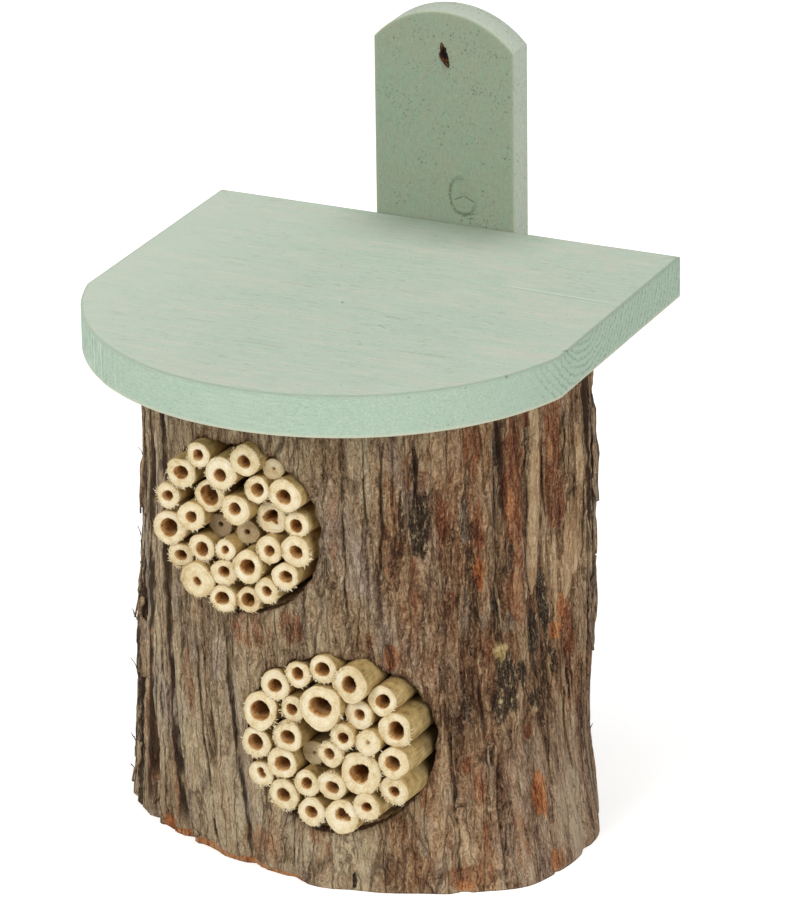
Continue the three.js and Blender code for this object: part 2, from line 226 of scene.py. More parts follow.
# Patches of the bark: angle in degrees, height, half width and half height in mm, strength
barkPatches = {
    # Fresh rusty bark under flakes that have fallen
    "redBark": [
        (-37.2, 159, 3.4, 10, 1), (-25.5, 142, 4.6, 26, 1), (-24.4, 122, 4.2, 14, 0.85),
        (-24.8, 101, 4, 10, 1), (-45.5, 134, 2.6, 9, 1), (-36, 128, 1.8, 12, 0.8),
        (-9.5, 146, 4.5, 20, 0.95), (-8, 127, 5, 10, 0.7), (-59, 86, 2.6, 5, 1), (-38.6, 38, 2, 8, 0.8),
        (-41, 45, 2.2, 3, 0.7), (-42.5, 5, 5.5, 5, 1), (-38, 14, 2, 12, 0.6), (-24, 52, 2.6, 3, 0.9),
        (-5, 80, 4, 16, 0.85), (-144, 28, 4, 22, 0.6), (-142, 62, 3, 20, 0.45), (-119, 64, 2.6, 16, 0.5),
        (-96, 92, 8, 7, 0.45), (-84, 95, 5, 6, 0.5), (-53, 112, 1.8, 10, 0.6), (-44, 103, 2.6, 5, 0.5),
        (-30, 16, 2.6, 12, 0.5), (-52, 36, 1.6, 6, 0.6), (-96, 10, 9, 8, 0.5), (-78, 24, 4, 8, 0.5),
        (-76, 10, 3, 10, 0.4), (-129, 22, 2.4, 16, 0.45), (-19, 4, 2.4, 4, 0.7), (-6, 60, 2.4, 10, 0.7),
        (-34, 86, 2, 10, 0.5), (-54, 152, 1.8, 8, 0.5), (-21, 163, 4, 4, 0.8), (-136, 100, 3, 14, 0.4),
        (-66, 92, 4, 4, 0.4), (-73, 132, 1.6, 14, 0.4),
    ],
    # Inner bark, where the outer bark has split off
    "emberBark": [
        (-36, 112, 1.6, 6, 0.8), (-22.8, 29, 3.2, 8, 0.95), (-9.5, 81, 4.4, 3.4, 0.8),
        (-7, 88, 3, 5, 0.6), (-20.8, 4, 1.6, 5, 0.8), (-134, 2, 3.4, 4, 1), (-127, 1, 6, 1.8, 1),
        (-116, 1, 11, 2.2, 1), (-102, 0.6, 12, 2, 1), (-89, 0, 9, 1.7, 0.9), (-43, 2, 3, 2.4, 0.6),
        (-26, 134, 2.4, 9, 0.35), (-9.6, 152, 2, 8, 0.35),
    ],
    # Smooth pale strips of bast
    "tanBark": [
        (-17.4, 140, 3.6, 32, 1), (-18.6, 110, 2.6, 12, 1), (-0.5, 112, 7, 14, 1),
        (-4.4, 101, 2.6, 12, 1), (3.6, 138, 4.4, 10, 1), (-9, 104, 1.6, 14, 0.8),
        (-16.8, 162, 2.6, 4, 0.9), (-68.6, 11, 0.9, 4, 0.9), (-14, 70, 1.4, 7, 0.7),
        (-41.6, 16, 2, 5, 0.4), (-12.2, 116, 1.4, 16, 0.5),
    ],
    # Weather-stained and rotten patches; the long dark one at -150 degrees is painted shade on the log's left
    # side
    "charredBark": [
        (-52.4, 152, 1.8, 10, 0.85), (-51.4, 134, 3.6, 13, 1), (-56, 136, 1, 10, 0.7),
        (-30.6, 150, 1.8, 20, 0.7), (-30.4, 128, 1.8, 10, 0.5), (-14, 94, 3.4, 11, 0.95),
        (-19, 84, 3.4, 9, 0.8), (-12.6, 72, 3, 5, 0.8), (-29.5, 72, 3.6, 12, 0.85),
        (-32, 64, 3.4, 6, 0.7), (-20.6, 62, 4.6, 3, 0.75), (-25, 73, 3, 5, 0.6),
        (-35.6, 48, 1.2, 4, 0.85), (-69, 3.4, 0.9, 3.2, 1), (-26, 115, 1.6, 6, 0.7),
        (-28, 112, 1, 4, 0.6), (-6, 66, 1, 12, 0.8), (-150, 48, 3, 60, 0.8), (-10, 106, 1.2, 8, 0.4),
        (8, 150, 2, 12, 0.8),
    ],
    # Grey, lichen-filmed bark
    "greyBark": [
        (-39.6, 132, 1.6, 10, 0.6), (-31.5, 157, 1.4, 5, 0.6), (-46.5, 38, 2.6, 12, 0.2),
        (-25, 46, 1.4, 4, 0.6), (-42, 64, 5, 8, 0.35), (-47, 98, 5, 16, 0.25), (-12, 90, 0.8, 5, 0.7),
        (-33.5, 98, 4, 8, 0.4), (-9.4, 32, 1.8, 2, 0.6), (-52, 22, 3, 10, 0.4), (-66, 150, 4, 10, 0.3),
        (-104, 84, 6, 6, 0.3), (-19, 74, 1, 8, 0.6), (-40, 100, 3, 14, 0.3), (-28, 92, 3, 4, 0.4),
    ],
    # Dried resin, cream and lumpy
    "resinLump": [
        (-31.6, 84, 1.9, 2.4, 1), (-30.6, 81.6, 1.2, 2, 1), (-29.6, 84.6, 1, 1, 1),
        (-32, 66, 0.8, 1, 0.7), (-21.4, 58.4, 1.3, 1.6, 0.5), (-24.6, 69, 0.6, 0.9, 0.6),
        (-28, 57, 0.6, 1, 0.5),
    ],
}
patchSeeds = {"redBark": 47, "emberBark": 53, "tanBark": 59,
              "charredBark": 41, "greyBark": 63, "resinLump": 65}
# Where the bark is lighter or darker on the whole, partly its own tone and partly painted shade: angle,
# height, half width in degrees, half height, share
barkShades = [
    (-135, 50, 7, 34, 0.3), (-15, 18, 7, 24, 0.22), (-16, 120, 5, 26, 0.2), (-5, 92, 6, 16, 0.3),
    (-12, 72, 5, 9, -0.6), (-30, 62, 12, 16, -0.2), (-45, 112, 7, 36, -0.3), (-25, 156, 6, 14, -0.2),
    (5, 62, 6, 24, -0.3), (4, 124, 7, 24, -0.5), (-60, 140, 8, 24, -0.1), (-112, 40, 10, 50, 0.1),
    (-96, 12, 12, 12, 0.08), (-140, 52, 6, 26, 0.6), (-138, 126, 8, 34, 0.5), (-129, 40, 4, 12, -0.2),
    (-33, 88, 8, 22, -0.3), (-62, 92, 7, 16, -0.25), (-50, 40, 6, 16, 0.2), (-8, 16, 9, 24, 0.3),
]

# Long furrows: angle at the top, angle at the foot, upper and lower height, width, depth in mm
barkFurrows = [
    (-104, -100, 98, 0, 1.4, 1.6), (-71, -70, 168, 92, 0.9, 0.8), (-141, -140.5, 172, 0, 3.8, 2.4),
    (-127, -125.5, 172, 2, 4.0, 2.2), (-60, -62, 168, 106, 0.8, 0.8), (-52.6, -51, 168, 118, 1.2, 0.8),
    (-30, -29.6, 172, 124, 1.8, 1), (8.4, 9.6, 172, 98, 4.4, 2.6), (10, 9, 98, 10, 1.6, 1.6),
    (-0.5, 0, 80, 2, 1.2, 1.2), (-147, -147, 172, 4, 1.8, 1.8), (-44.8, -44.4, 46, 0, 0.9, 1.0),
    (-85, -86, 34, 0, 0.9, 0.8), (-21, -20.6, 168, 110, 0.8, 0.8), (17, 16, 172, 0, 2.0, 1.6),
    (-115, -113, 88, 12, 0.8, 0.7), (-37, -36.4, 110, 50, 0.8, 0.7), (-155, -154, 172, 0, 2.2, 1.6),
    (24, 23, 172, 0, 2.0, 1.6), (-134, -134, 172, 4, 0.8, 0.8), (-93, -93, 60, 22, 0.8, 0.7),
    (-78, -77, 100, 84, 0.9, 0.9), (-2.6, -4, 60, 0, 0.9, 0.9), (-14, -13.6, 122, 104, 0.7, 0.7),
    (-5.4, -6.4, 78, 48, 1.4, 1.6), (-57.6, -58, 165, 112, 0.8, 0.6), (-65, -64.6, 165, 118, 0.7, 0.6),
    (-47.6, -47.4, 90, 46, 0.7, 0.6), (-120, -121, 98, 66, 0.8, 0.8), (-109, -110, 74, 30, 0.7, 0.6),
]

# Wandering cracks with one side lifted: width and length of the strips, lift, line share, seed
barkStrips = [(13, 110, 0.75, 0.035, 11), (6.5, 46, 0.5, 0.045, 17), (3, 17, 0.28, 0.055, 23)]


caneNodes = sorted(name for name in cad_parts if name.startswith("cane_"))


# Centre, front, radius, bore and back end of a cane, in millimetres, read from its solid
def caneFacts(nodeName):
    low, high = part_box(nodeName)
    centreX, centreZ = (low.x + high.x) / 2, (low.z + high.z) / 2
    spots = np.array([v.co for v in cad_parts[nodeName].data.vertices])
    away = np.hypot(spots[:, 0] - centreX, spots[:, 2] - centreZ)
    radius = away.max()
    hollow = away[(away > 1e-5) & (away < 0.95 * radius)]
    bore = hollow.min() if len(hollow) else 0.0
    return np.array([centreX, low.y, centreZ, radius, bore, high.y]) / mm


# How far an angle lies along the bark from the +X side, in millimetres
def alongBark(angle):
    return np.radians(angle) * logShape["baseRadius"]


# The log without its fine bark: the same radius as the solid, in millimetres
def trunkRadius(angle, height):
    fade = np.maximum(0, 1 - height / logShape["flareHeight"]) ** 1.5
    lobes = sum(
        reach * np.exp(-((turnedFrom(angle, direction) / spread) ** 2))
        for direction, reach, spread in logShape["rootLobes"]
    )
    climb = height / logShape["height"]
    ridges = sum(
        share * np.sin(np.radians(count * angle + phase + lean * climb))
        for count, share, phase, lean in logShape["ridges"]
    )
    swells = sum(
        reach * np.exp(-(turnedFrom(angle, direction) / spread) ** 2 - ((climb - level) / tall) ** 2)
        for direction, reach, spread, level, tall in logShape["swells"]
    )
    furrowFade = logShape["furrowFade"] / logShape["height"]
    furrow = np.zeros(angle.shape)
    for top, foot, begin, end, share in logShape["furrows"]:
        run = np.clip((climb - begin) / (end - begin), 0, 1)
        middle = foot + (top - foot) * run
        aside = alongBark(np.abs(turnedFrom(angle, middle)))
        ends = smoothStep(begin, begin + furrowFade, climb) if begin > 0 else 1
        ends = ends * (smoothStep(end, end - furrowFade, climb) if end < 1 else 1)
        furrow = np.maximum(furrow, share * ends * np.maximum(0, 1 - aside / (logShape["furrowWidth"] / 2)))
    plain = logShape["baseRadius"] + (logShape["topRadius"] - logShape["baseRadius"]) * climb
    swollen = plain + fade * lobes + swells
    return swollen + logShape["barkRelief"] * ridges - logShape["furrowDepth"] * furrow


# Patches with ragged edges, as one share
def patchMask(angle, height, patches, seed):
    across = alongBark(angle)
    rag = 0.3 * layeredNoise(across / 2.4, height / 9, seed)
    rag = rag + 0.16 * softNoise(across / 0.7, height / 4, seed + 9)
    mask = np.zeros(angle.shape)
    for middle, level, halfWidth, halfHeight, strength in patches:
        aside = (across - alongBark(middle)) / halfWidth
        far = np.hypot(aside, (height - level) / halfHeight)
        mask = np.maximum(mask, strength * smoothStep(1.25, 0.7, far + rag))
    return mask


# Long furrows: how deep in mm, and how dark they lie as painted shade. The painted shade lies more on
# the wall turned from the light.
def furrowMask(angle, height):
    across = alongBark(angle)
    wander = 1.3 * layeredNoise(across / 40, height / 22, 71) + 0.45 * softNoise(across / 9, height / 5, 75)
    dark = np.zeros(angle.shape)
    deep = np.zeros(angle.shape)
    for top, foot, upper, lower, width, depth in barkFurrows:
        run = np.clip((upper - height) / (upper - lower), 0, 1)
        middle = alongBark(top + (foot - top) * run)
        ends = smoothStep(-2, 12, upper - height) * smoothStep(-2, 12, height - lower)
        swell = 0.65 + 0.5 * softNoise(height / 13 + top, height / 40, 77)
        off = across + wander - middle
        cut = ends * np.exp(-((off / (0.5 * width * swell)) ** 2))
        wallOut = 0.9 * depth * np.clip(np.tan(np.radians(np.clip(top + 78, -62, 62))), -1.6, 1.6)
        worked = swell * (0.62 + 0.5 * softNoise(across / 1.6, height / 7, 79))
        dark = np.maximum(dark, ends * np.exp(-(((off - wallOut) / (width * worked)) ** 4)))
        deep = np.maximum(deep, cut * depth)
    return dark, deep


# Everything that the bark's mesh and its material need at one place, in millimetres and shares
def barkAt(angle, height):
    across = alongBark(angle)
    bent = across + 2.8 * layeredNoise(across / 26, height / 52, 3)
    bent = bent + 0.7 * layeredNoise(across / 6, height / 17, 8)
    lifted = np.zeros(angle.shape)
    crack = np.zeros(angle.shape)
    for width, length, lift, line, seed in barkStrips:
        field = layeredNoise(bent / width, height / length, seed, 2)
        broken = smoothStep(-0.05, 0.3, softNoise(across / 9, height / (0.35 * length), seed + 5))
        lifted += lift * smoothStep(-0.05, 0.05, field)
        thin = smoothStep(line, 0.2 * line, np.abs(field + 0.5 * line))
        crack = np.maximum(crack, min(1, 1.35 * lift) * broken * thin)
    threads = layeredNoise(bent / 1.4, height / 17, 33)
    knurls = layeredNoise(bent / 1.1, height / 4.5, 37)
    rust = (smoothStep(-70, -54, angle) - 0.25 * smoothStep(-14, 0, angle)) * smoothStep(75, 35, angle)
    dusk = np.exp(-(((angle + 42) / 20) ** 2)) * smoothStep(8, 40, height) * smoothStep(172, 120, height)
    flakeField = layeredNoise(bent / 6, height / 20, 101, 2) + 0.25 * softNoise(bent / 1.5, height / 6, 105)
    rustFlake = smoothStep(0.42 - 0.42 * rust, 0.5 - 0.42 * rust, flakeField)
    paleField = layeredNoise(bent / 4, height / 12, 111, 2)
    paleFlake = smoothStep(0.32, 0.4, paleField)
    patches = {name: patchMask(angle, height, places, patchSeeds[name])
               for name, places in barkPatches.items()}
    redBark, ember, tan, charred, _, resin = patches.values()
    furrow, furrowDepth = furrowMask(angle, height)
    rubble = layeredNoise(across / 1.3, height / 2.4, 67)
    shade = sum(share * np.exp(-(((angle - middle) / wide) ** 2) - ((height - level) / tall) ** 2)
                for middle, level, wide, tall, share in barkShades)
    footFade = 0.12 + 0.88 * smoothStep(0, 10, height)
    worn = smoothStep(-38, -28, angle) * smoothStep(64, 40, height)
    calm = (1 - 0.8 * np.maximum(tan, 0.6 * redBark)) * footFade * (1 - 0.65 * worn)
    out = calm * (lifted - 0.6 + 0.35 * threads + 0.3 * knurls - 0.6 * crack) - furrowDepth * footFade
    out += -1.6 * np.exp(-(((angle - 20) / 14) ** 2)) * smoothStep(66, 26, height)
    out += 0.35 * paleFlake * calm - 0.3 * rustFlake * calm
    out += -0.35 * redBark - 0.9 * ember * smoothStep(10, 3, height) + 0.4 * tan
    out += charred * (0.8 * rubble - 0.5) + resin * (1.1 + 0.5 * rubble)
    return {
        "out": out,
        # the dark lines: real cracks, and painted shade in the furrows
        "crack": np.clip(np.maximum(0.65 * crack * calm, 0.92 * furrow), 0, 1) * (1 - 0.75 * tan),
        "plateTone": 0.5 + 0.4 * (lifted - 0.75) + 0.2 * threads + 0.12 * paleFlake - 0.3 * dusk + shade,
        **patches,
        "redBark": redBark * (1 - tan),
        "wornBark": worn,
        "rustShare": np.clip(0.75 * rust + 0.6 * rustFlake * (0.35 + 0.65 * rust), 0, 1),
    }


def barkPoints(angle, height, lift=0.0):
    here = barkAt(angle, height)
    radius = trunkRadius(angle, height) + here["out"] + lift
    turn = np.radians(angle)
    behindBack = np.minimum(radius * np.sin(turn) - logShape["axisToBack"], 0)
    y = behindBack + logShape["axisToBack"] + logShape["axisY"]
    return np.stack([radius * np.cos(turn), y, height], -1), here


def makeBarkMaterial():
    material, tree, shader, inMm = newMaterial("dryConiferBark")
    add = partial(addNode, tree)
    bends = makeGrains(tree, inMm, {
        "sway": ((0.16, 0.16, 0.08), 2.0, 0.5), "curl": ((0.7, 0.7, 0.4), 2.0, 0.5),
        "wriggle": ((0.9, 0.9, 0.6), 2.0, 0.5), "cloud": ((0.07, 0.07, 0.03), 3.0, 0.5)})
    pushed = [inMm]
    for name, reach in (("sway", 4.0), ("curl", 1.2), ("wriggle", 1.1)):
        push = add("VectorMath", {0: bends[name].outputs["Color"], "Scale": reach}, operation="SCALE")
        pushed.append(add("VectorMath", {0: pushed[-1], 1: push}, operation="ADD"))
    bent, wriggly = pushed[2:]
    grain = makeGrains(tree, bent, {
        "thread": ((0.55, 0.55, 0.08), 3.0, 0.65), "hair": ((1.25, 1.25, 0.2), 3.0, 0.65),
        "blotch": ((0.14, 0.14, 0.06), 3.0, 0.65), "grit": ((1.5, 1.5, 1.0), 3.0, 0.65)})
    wrinkled = makeGrains(tree, wriggly, {"wrinkle": ((0.85, 0.85, 0.2), 1.0, 0.5)})["wrinkle"]
    # Flakes and slivers that overlap, each of its own tone, then a net of lines and long splits
    cells = {}
    for name, vector, stretch, feature in (
            ("flake", bent, (0.2, 0.2, 0.035), "F1"), ("sliver", bent, (0.62, 0.62, 0.11), "F1"),
            ("net", wriggly, (0.36, 0.36, 0.05), "DISTANCE_TO_EDGE"),
            ("split", bent, (0.15, 0.15, 0.009), "DISTANCE_TO_EDGE")):
        pulled = add("VectorMath", {0: vector, 1: stretch}, operation="MULTIPLY")
        cells[name] = add("TexVoronoi", {"Vector": pulled, "Scale": 1.0, "Randomness": 1.0}, feature=feature)
    flake, sliver = (add("SeparateXYZ", {0: cells[name].outputs["Color"]}).outputs
                     for name in ("flake", "sliver"))
    value = {
        name: add("Attribute", attribute_name=name).outputs["Fac"]
        for name in ("crack", "plateTone", "redBark", "emberBark", "tanBark", "charredBark", "greyBark",
                     "resinLump", "rustShare", "wornBark")
    }
    offMiddle = add("Math", {0: wrinkled, 1: 0.5}, operation="SUBTRACT")
    offMiddle = add("Math", {0: offMiddle}, operation="ABSOLUTE")
    wrinkle = whereAll(tree, [(offMiddle, 0.035, 0.004)])
    netShown = whereAll(tree, [(cells["net"], 0.05, 0.012), (grain["thread"], 0.42, 0.56)])
    splitLine = whereAll(tree, [(cells["split"], 0.034, 0.01)])

    # A patch tears into streaks at its edge, and where it is weak
    def torn(mask, tear=1.7):
        streaky = add("Math", {0: grain["thread"], 1: tear, 2: mask}, operation="MULTIPLY_ADD")
        streaky = add("Math", {0: grain["hair"], 1: 0.5 * tear, 2: streaky}, operation="MULTIPLY_ADD")
        middle = 0.75 * tear + 0.42
        return streaky, middle - 0.16, middle + 0.2

    # The tone gathers the grain at all sizes, about 0.5 in the middle
    tone = -0.74
    for source, share in ((value["plateTone"], 0.4), (grain["blotch"], 0.25), (grain["thread"], 0.3),
                          (grain["hair"], 0.8), (grain["grit"], 0.68), (flake["X"], 0.1),
                          (sliver["X"], 0.12)):
        tone = add("Math", {0: source, 1: share, 2: tone}, operation="MULTIPLY_ADD")
    charTone = add("Math", {0: grain["grit"], 1: 0.5}, operation="MULTIPLY")
    charTone = add("Math", {0: grain["hair"], 1: 0.7, 2: charTone}, operation="MULTIPLY_ADD")
    ramps = {
        "weathered": [(0.24, "#3B2C1F"), (0.35, "#6E5840"), (0.44, "#91785A"), (0.53, "#A58C6C"),
                      (0.62, "#B59D7C"), (0.78, "#CAB796")],
        "leathery": [(0.24, "#2D1B10"), (0.35, "#573824"), (0.45, "#7B5439"), (0.55, "#936B4B"),
                     (0.64, "#A98461"), (0.78, "#C7A67F")],
        "rusty": [(0.24, "#24130B"), (0.36, "#502C1B"), (0.46, "#71422A"), (0.56, "#8A583C"),
                  (0.74, "#B28762")],
        "glowing": [(0.24, "#502613"), (0.38, "#884A27"), (0.52, "#B0683B"), (0.72, "#D29864")],
        "mauve": [(0.24, "#2C231F"), (0.38, "#5A4A42"), (0.48, "#776559"), (0.58, "#8F7D70"),
                  (0.76, "#B3A394")],
        "smooth": [(0.24, "#8A6B4A"), (0.38, "#B08D66"), (0.54, "#C8A780"), (0.74, "#DEC5A0")],
        "filmed": [(0.24, "#2B241D"), (0.38, "#594D41"), (0.5, "#7E7060"), (0.62, "#9C8D79"),
                   (0.76, "#BEB19A")],
        "lumpy": [(0.24, "#8E7344"), (0.4, "#C2A66F"), (0.56, "#DCC794"), (0.76, "#EFE3C2")],
        "sooty": [(0.43, "#1A130D"), (0.54, "#32261C"), (0.62, "#4F4031"), (0.7, "#7E6B53"),
                  (0.79, "#B9A888")],
    }
    coloured = {
        name: add("ValToRGB", {"Fac": charTone if name == "sooty" else tone}, stops=stops).outputs["Color"]
        for name, stops in ramps.items()
    }
    mottled, red = (whereAll(tree, [part]) for part in ((flake["Y"], 0.72, 0.95), torn(value["redBark"])))
    redder = add("Math", {0: mottled, 1: 0.2, 2: red}, operation="MULTIPLY_ADD", use_clamp=True)
    bloom = whereAll(tree, [(bends["cloud"], 0.5, 0.68, 0.0, 0.7), (value["rustShare"], 0.5, 0.9, 1.0, 0.4)])
    bloom = add("Math", {0: value["wornBark"], 1: 0.35, 2: bloom}, operation="MULTIPLY_ADD", use_clamp=True)
    lined = (value["wornBark"], 0.0, 1.0, 1.0, 0.3)
    colour = layOver(tree, coloured["weathered"], [
        ([value["rustShare"], (sliver["Y"], 1.0, 0.0, 0.55, 1.0)], coloured["leathery"]),
        ([bloom], coloured["mauve"]),
        ([torn(value["greyBark"])], coloured["filmed"]),
        ([redder], coloured["rusty"]),
        ([torn(value["charredBark"], 2.2)], coloured["sooty"]),
        # Pale slivers stand up, pale of their own and lightened by a painted highlight, and lines lie dark
        # between the plates
        ([(grain["hair"], 0.6, 0.72), 0.42, lined], "#D2B78F"),
        ([wrinkle, 0.25, lined], "#45331F"),
        ([netShown, 0.35, lined], "#3D2A1A"),
        ([splitLine, 0.5, lined], "#321F12"),
        ([(value["tanBark"], 0.3, 0.6), 0.88], coloured["smooth"]),
        ([torn(value["emberBark"], 1.2), 0.88], coloured["glowing"]),
        # dark of the cracks, with painted shade in the furrows and at the pockets' rims
        ([value["crack"]], "#2C1A0E"),
        ([value["resinLump"]], coloured["lumpy"]),
    ])
    height = 0.0
    for source, share in ((grain["thread"], 1.0), (grain["hair"], 1.2), (grain["grit"], 0.8),
                          (sliver["X"], 0.25), (flake["X"], 0.2), (netShown, -0.3),
                          (splitLine, -0.9), (wrinkle, -0.35)):
        height = add("Math", {0: source, 1: share, 2: height}, operation="MULTIPLY_ADD")
    dressShader(tree, shader, colour, height, 1.0, 0.62, 0.92, 0.18)
    return material


# Sawn softwood with its bark ring: pale wood with growth rings about the log's axis
def makeSawnMaterial():
    material, tree, shader, inMm = newMaterial("sawnLogWood")
    add = partial(addNode, tree)
    wobble = add("TexNoise", {"Vector": inMm, "Scale": 0.06, "Detail": 2.0})
    rings = growthRings(tree, inMm, (0, logShape["axisY"], 0), (1, 1, 0), wobble, 6.0, 2.6)
    fine = add("TexNoise", {"Vector": inMm, "Scale": 1.7, "Detail": 4.0})
    tone = add("Math", {0: rings, 1: 0.12, 2: fine}, operation="MULTIPLY_ADD")
    wood = add("ValToRGB", {"Fac": tone}, stops=[(0.3, "#A57F54"), (0.5, "#C9A877"), (0.7, "#DCC399")])
    under = add("ValToRGB", {"Fac": fine}, stops=[(0.35, "#2E2016"), (0.5, "#54402E"), (0.65, "#7C6048")])
    depth = add("Attribute", attribute_name="depthIn").outputs["Fac"]
    inWood = (depth, logShape["barkThickness"] - 0.4, logShape["barkThickness"] + 0.4)
    colour = layOver(tree, under, [([inWood], wood)])
    dressShader(tree, shader, colour, tone, 0.4, 0.2, 0.85, 0.25)
    return material


def columnAngles():
    corner = math.degrees(math.asin(logShape["axisToBack"] / logShape["baseRadius"]))
    fine = math.degrees(logShape["fineStep"] / logShape["baseRadius"])
    coarse = math.degrees(logShape["coarseStep"] / logShape["baseRadius"])
    start, end = -180 - corner, corner
    left = np.arange(start, logShape["fineFrom"], coarse)
    middle = np.arange(logShape["fineFrom"], logShape["fineTo"], fine)
    right = np.append(np.arange(logShape["fineTo"], end - coarse / 2, coarse), end)
    return np.concatenate([left, middle, right])


# The rim hugs the canes, and stands a little clear of them at the lower right
def rimRadius(pocket, turn):
    canes = [caneFacts(name) for name in caneNodes if pocket["name"] in name]
    hug = np.zeros(turn.shape)
    for x, _, z, radius, _, _ in canes:
        right, over = x - pocket["x"], z - pocket["z"]
        aside = turnedFrom(turn, math.atan2(over, right), 2 * math.pi)
        reach = (math.hypot(right, over) + radius) * np.exp(-np.abs(aside) * 0.35)
        hug = np.maximum(hug, reach)
    free = smoothStep(-0.4, 0.5, np.cos(turn + math.radians(38)))
    ragged = 0.4 * ringNoise(turn, 9, 91) + 0.3 * ringNoise(turn, 30, 93)
    return (1 - free) * np.minimum(hug + 0.5, pocket["radius"]) + free * (pocket["radius"] + 0.4) + ragged


def pocketGap(points, pocket):
    x, z = points[:, 0] - pocket["x"], points[:, 2] - pocket["z"]
    rim = rimRadius(pocket, np.arctan2(z, x))
    gap = np.hypot(x, z) - rim
    return np.where(points[:, 1] > logShape["axisY"], 99, gap), rim


# Strips of bark that have come loose at one end: angle and height of the fixed end, length (down if
# negative), width, how far the loose end stands off, lean in degrees
looseStrips = [
    (19, 150, -36, 3.4, 1.6, 1), (21, 92, -34, 3.0, 1.4, -2), (18, 60, 30, 2.0, 0.3, 1),
    (14, 168, -30, 2.6, 1.5, 2), (23, 30, 26, 2.0, 0.3, -2), (16, 118, -26, 2.2, 1.4, 3),
    (25, 130, -40, 3.0, 1.4, 0), (12, 84, -22, 2.0, 1.5, 4), (8, 166, -34, 2.4, 2.2, -1),
    (7, 128, -26, 2.2, 2.4, 2), (9, 62, -40, 2.0, 0.6, 1), (6, 100, 18, 1.8, 1.6, -3),
    (-150, 150, -40, 2.4, 1.6, 0), (-152, 96, -26, 2.2, 1.6, 2), (-148, 50, 30, 2.6, 1.6, -2),
    (-151, 24, -16, 3.0, 1.4, 3), (-154, 70, 20, 2.0, 1.6, 0), (-155, 128, -18, 1.6, 1.4, -3),
    (-54, 146, -12, 0.9, 1.0, 4), (-31, 150, -26, 1.6, 1.6, 1), (-21, 160, -20, 1.4, 1.4, -2),
    (-12, 150, -24, 1.4, 1.3, 2), (-4, 140, 20, 1.4, 1.2, -6), (-31, 108, -16, 1.2, 1.4, 2),
    (-44, 60, -18, 1.2, 1.0, 1), (-36, 30, 22, 1.4, 1.2, -2), (-18, 30, 26, 1.4, 1.4, 2),
    (-8, 60, -30, 1.6, 1.4, 1), (-62, 20, -16, 1.2, 1.0, 0), (-88, 16, -10, 1.4, 0.6, 2),
    (-112, 14, -9, 1.4, 0.5, -1), (-141, 14, -9, 1.2, 1.0, 4),
]
# Loose fibres: angle, height, length, how far the tip stands off, lean in degrees
looseFibres = [
    (-157, 128, 4, 2, 24), (-157, 98, 4, 1.6, 12), (-157, 66, 4, 2.4, -30), (-156, 48, 4, 2, -14),
    (-157, 20, 4, 1.6, 22), (-156, 8, 4, 1.6, 10), (24, 126, 6, 1.6, -6), (23, 96, 5, 1.6, -12),
    (25, 54, 4, 1.6, -20), (25, 22, 4, 1.6, -10), (-22.5, 154, 6, 2.4, 50), (-19, 150, 5, 2, -40),
    (-3, 128, 5, 1.6, 30), (-134, 6, 4, 1.6, 16), (-120, 4, 4, 1.4, -20), (-104, 3, 4, 1.4, 10),
]


def ribbonPoints(angle, height, length, width, lift, lean, steps, thickness):
    share = np.linspace(0, 1, steps)
    rng = np.random.default_rng(int(abs(angle) * 31 + height * 7))
    levels = np.clip(height + length * share * math.cos(math.radians(lean)), 0.4, logShape["height"] - 0.4)
    sway = length * share * math.sin(math.radians(lean))
    sway = sway + 0.5 * width * ringNoise(share * 3, 1.3, int(height) + 3)
    spread = 0.5 * width * (1 - 0.75 * share ** 2) * (0.85 + 0.15 * rng.random(steps))
    stand = 0.25 + lift * share ** 1.8
    rows = []
    for side, off in ((-1, 0.0), (1, 0.0), (1, thickness), (-1, thickness)):
        turns = angle + np.degrees((sway + side * spread) / logShape["baseRadius"])
        points, _ = barkPoints(turns, levels, stand + off - 0.15 * spread)
        rows.append(points)
    return np.stack(rows, 1)


def makeLooseBark(barkMaterial):
    allPoints, faces, tints = [], [], []
    pieces = [(a, h, l, w, lift, lean, 14, 0.6, 0.0) for a, h, l, w, lift, lean in looseStrips]
    pieces += [(a, h, l, 0.32, lift, lean, 8, 0.26, 0.8) for a, h, l, lift, lean in looseFibres]
    for angle, height, length, width, lift, lean, steps, thickness, dark in pieces:
        rows = ribbonPoints(angle, height, length, width, lift, lean, steps, thickness)
        first = sum(len(p) for p in allPoints)
        allPoints.append(rows.reshape(-1, 3))
        quads = loftFaces(steps, 4, first)
        faces += quads.tolist()
        faces += [[first + 3, first + 2, first + 1, first], [first + 4 * steps - k for k in (4, 3, 2, 1)]]
        tints.append(np.full(4 * steps, dark))
    points, dark = np.concatenate(allPoints), np.concatenate(tints)
    count = len(points)
    values = {**dict.fromkeys([*barkPatches, "wornBark"], 0 * dark), "crack": 0.6 * dark,
              "plateTone": np.full(count, 0.52), "rustShare": np.full(count, 0.5)}
    piece = makePiece("loose_bark_strips", points * mm, faces, [barkMaterial], None, values)
    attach(piece, "root")
    print("loose bark:", len(pieces))


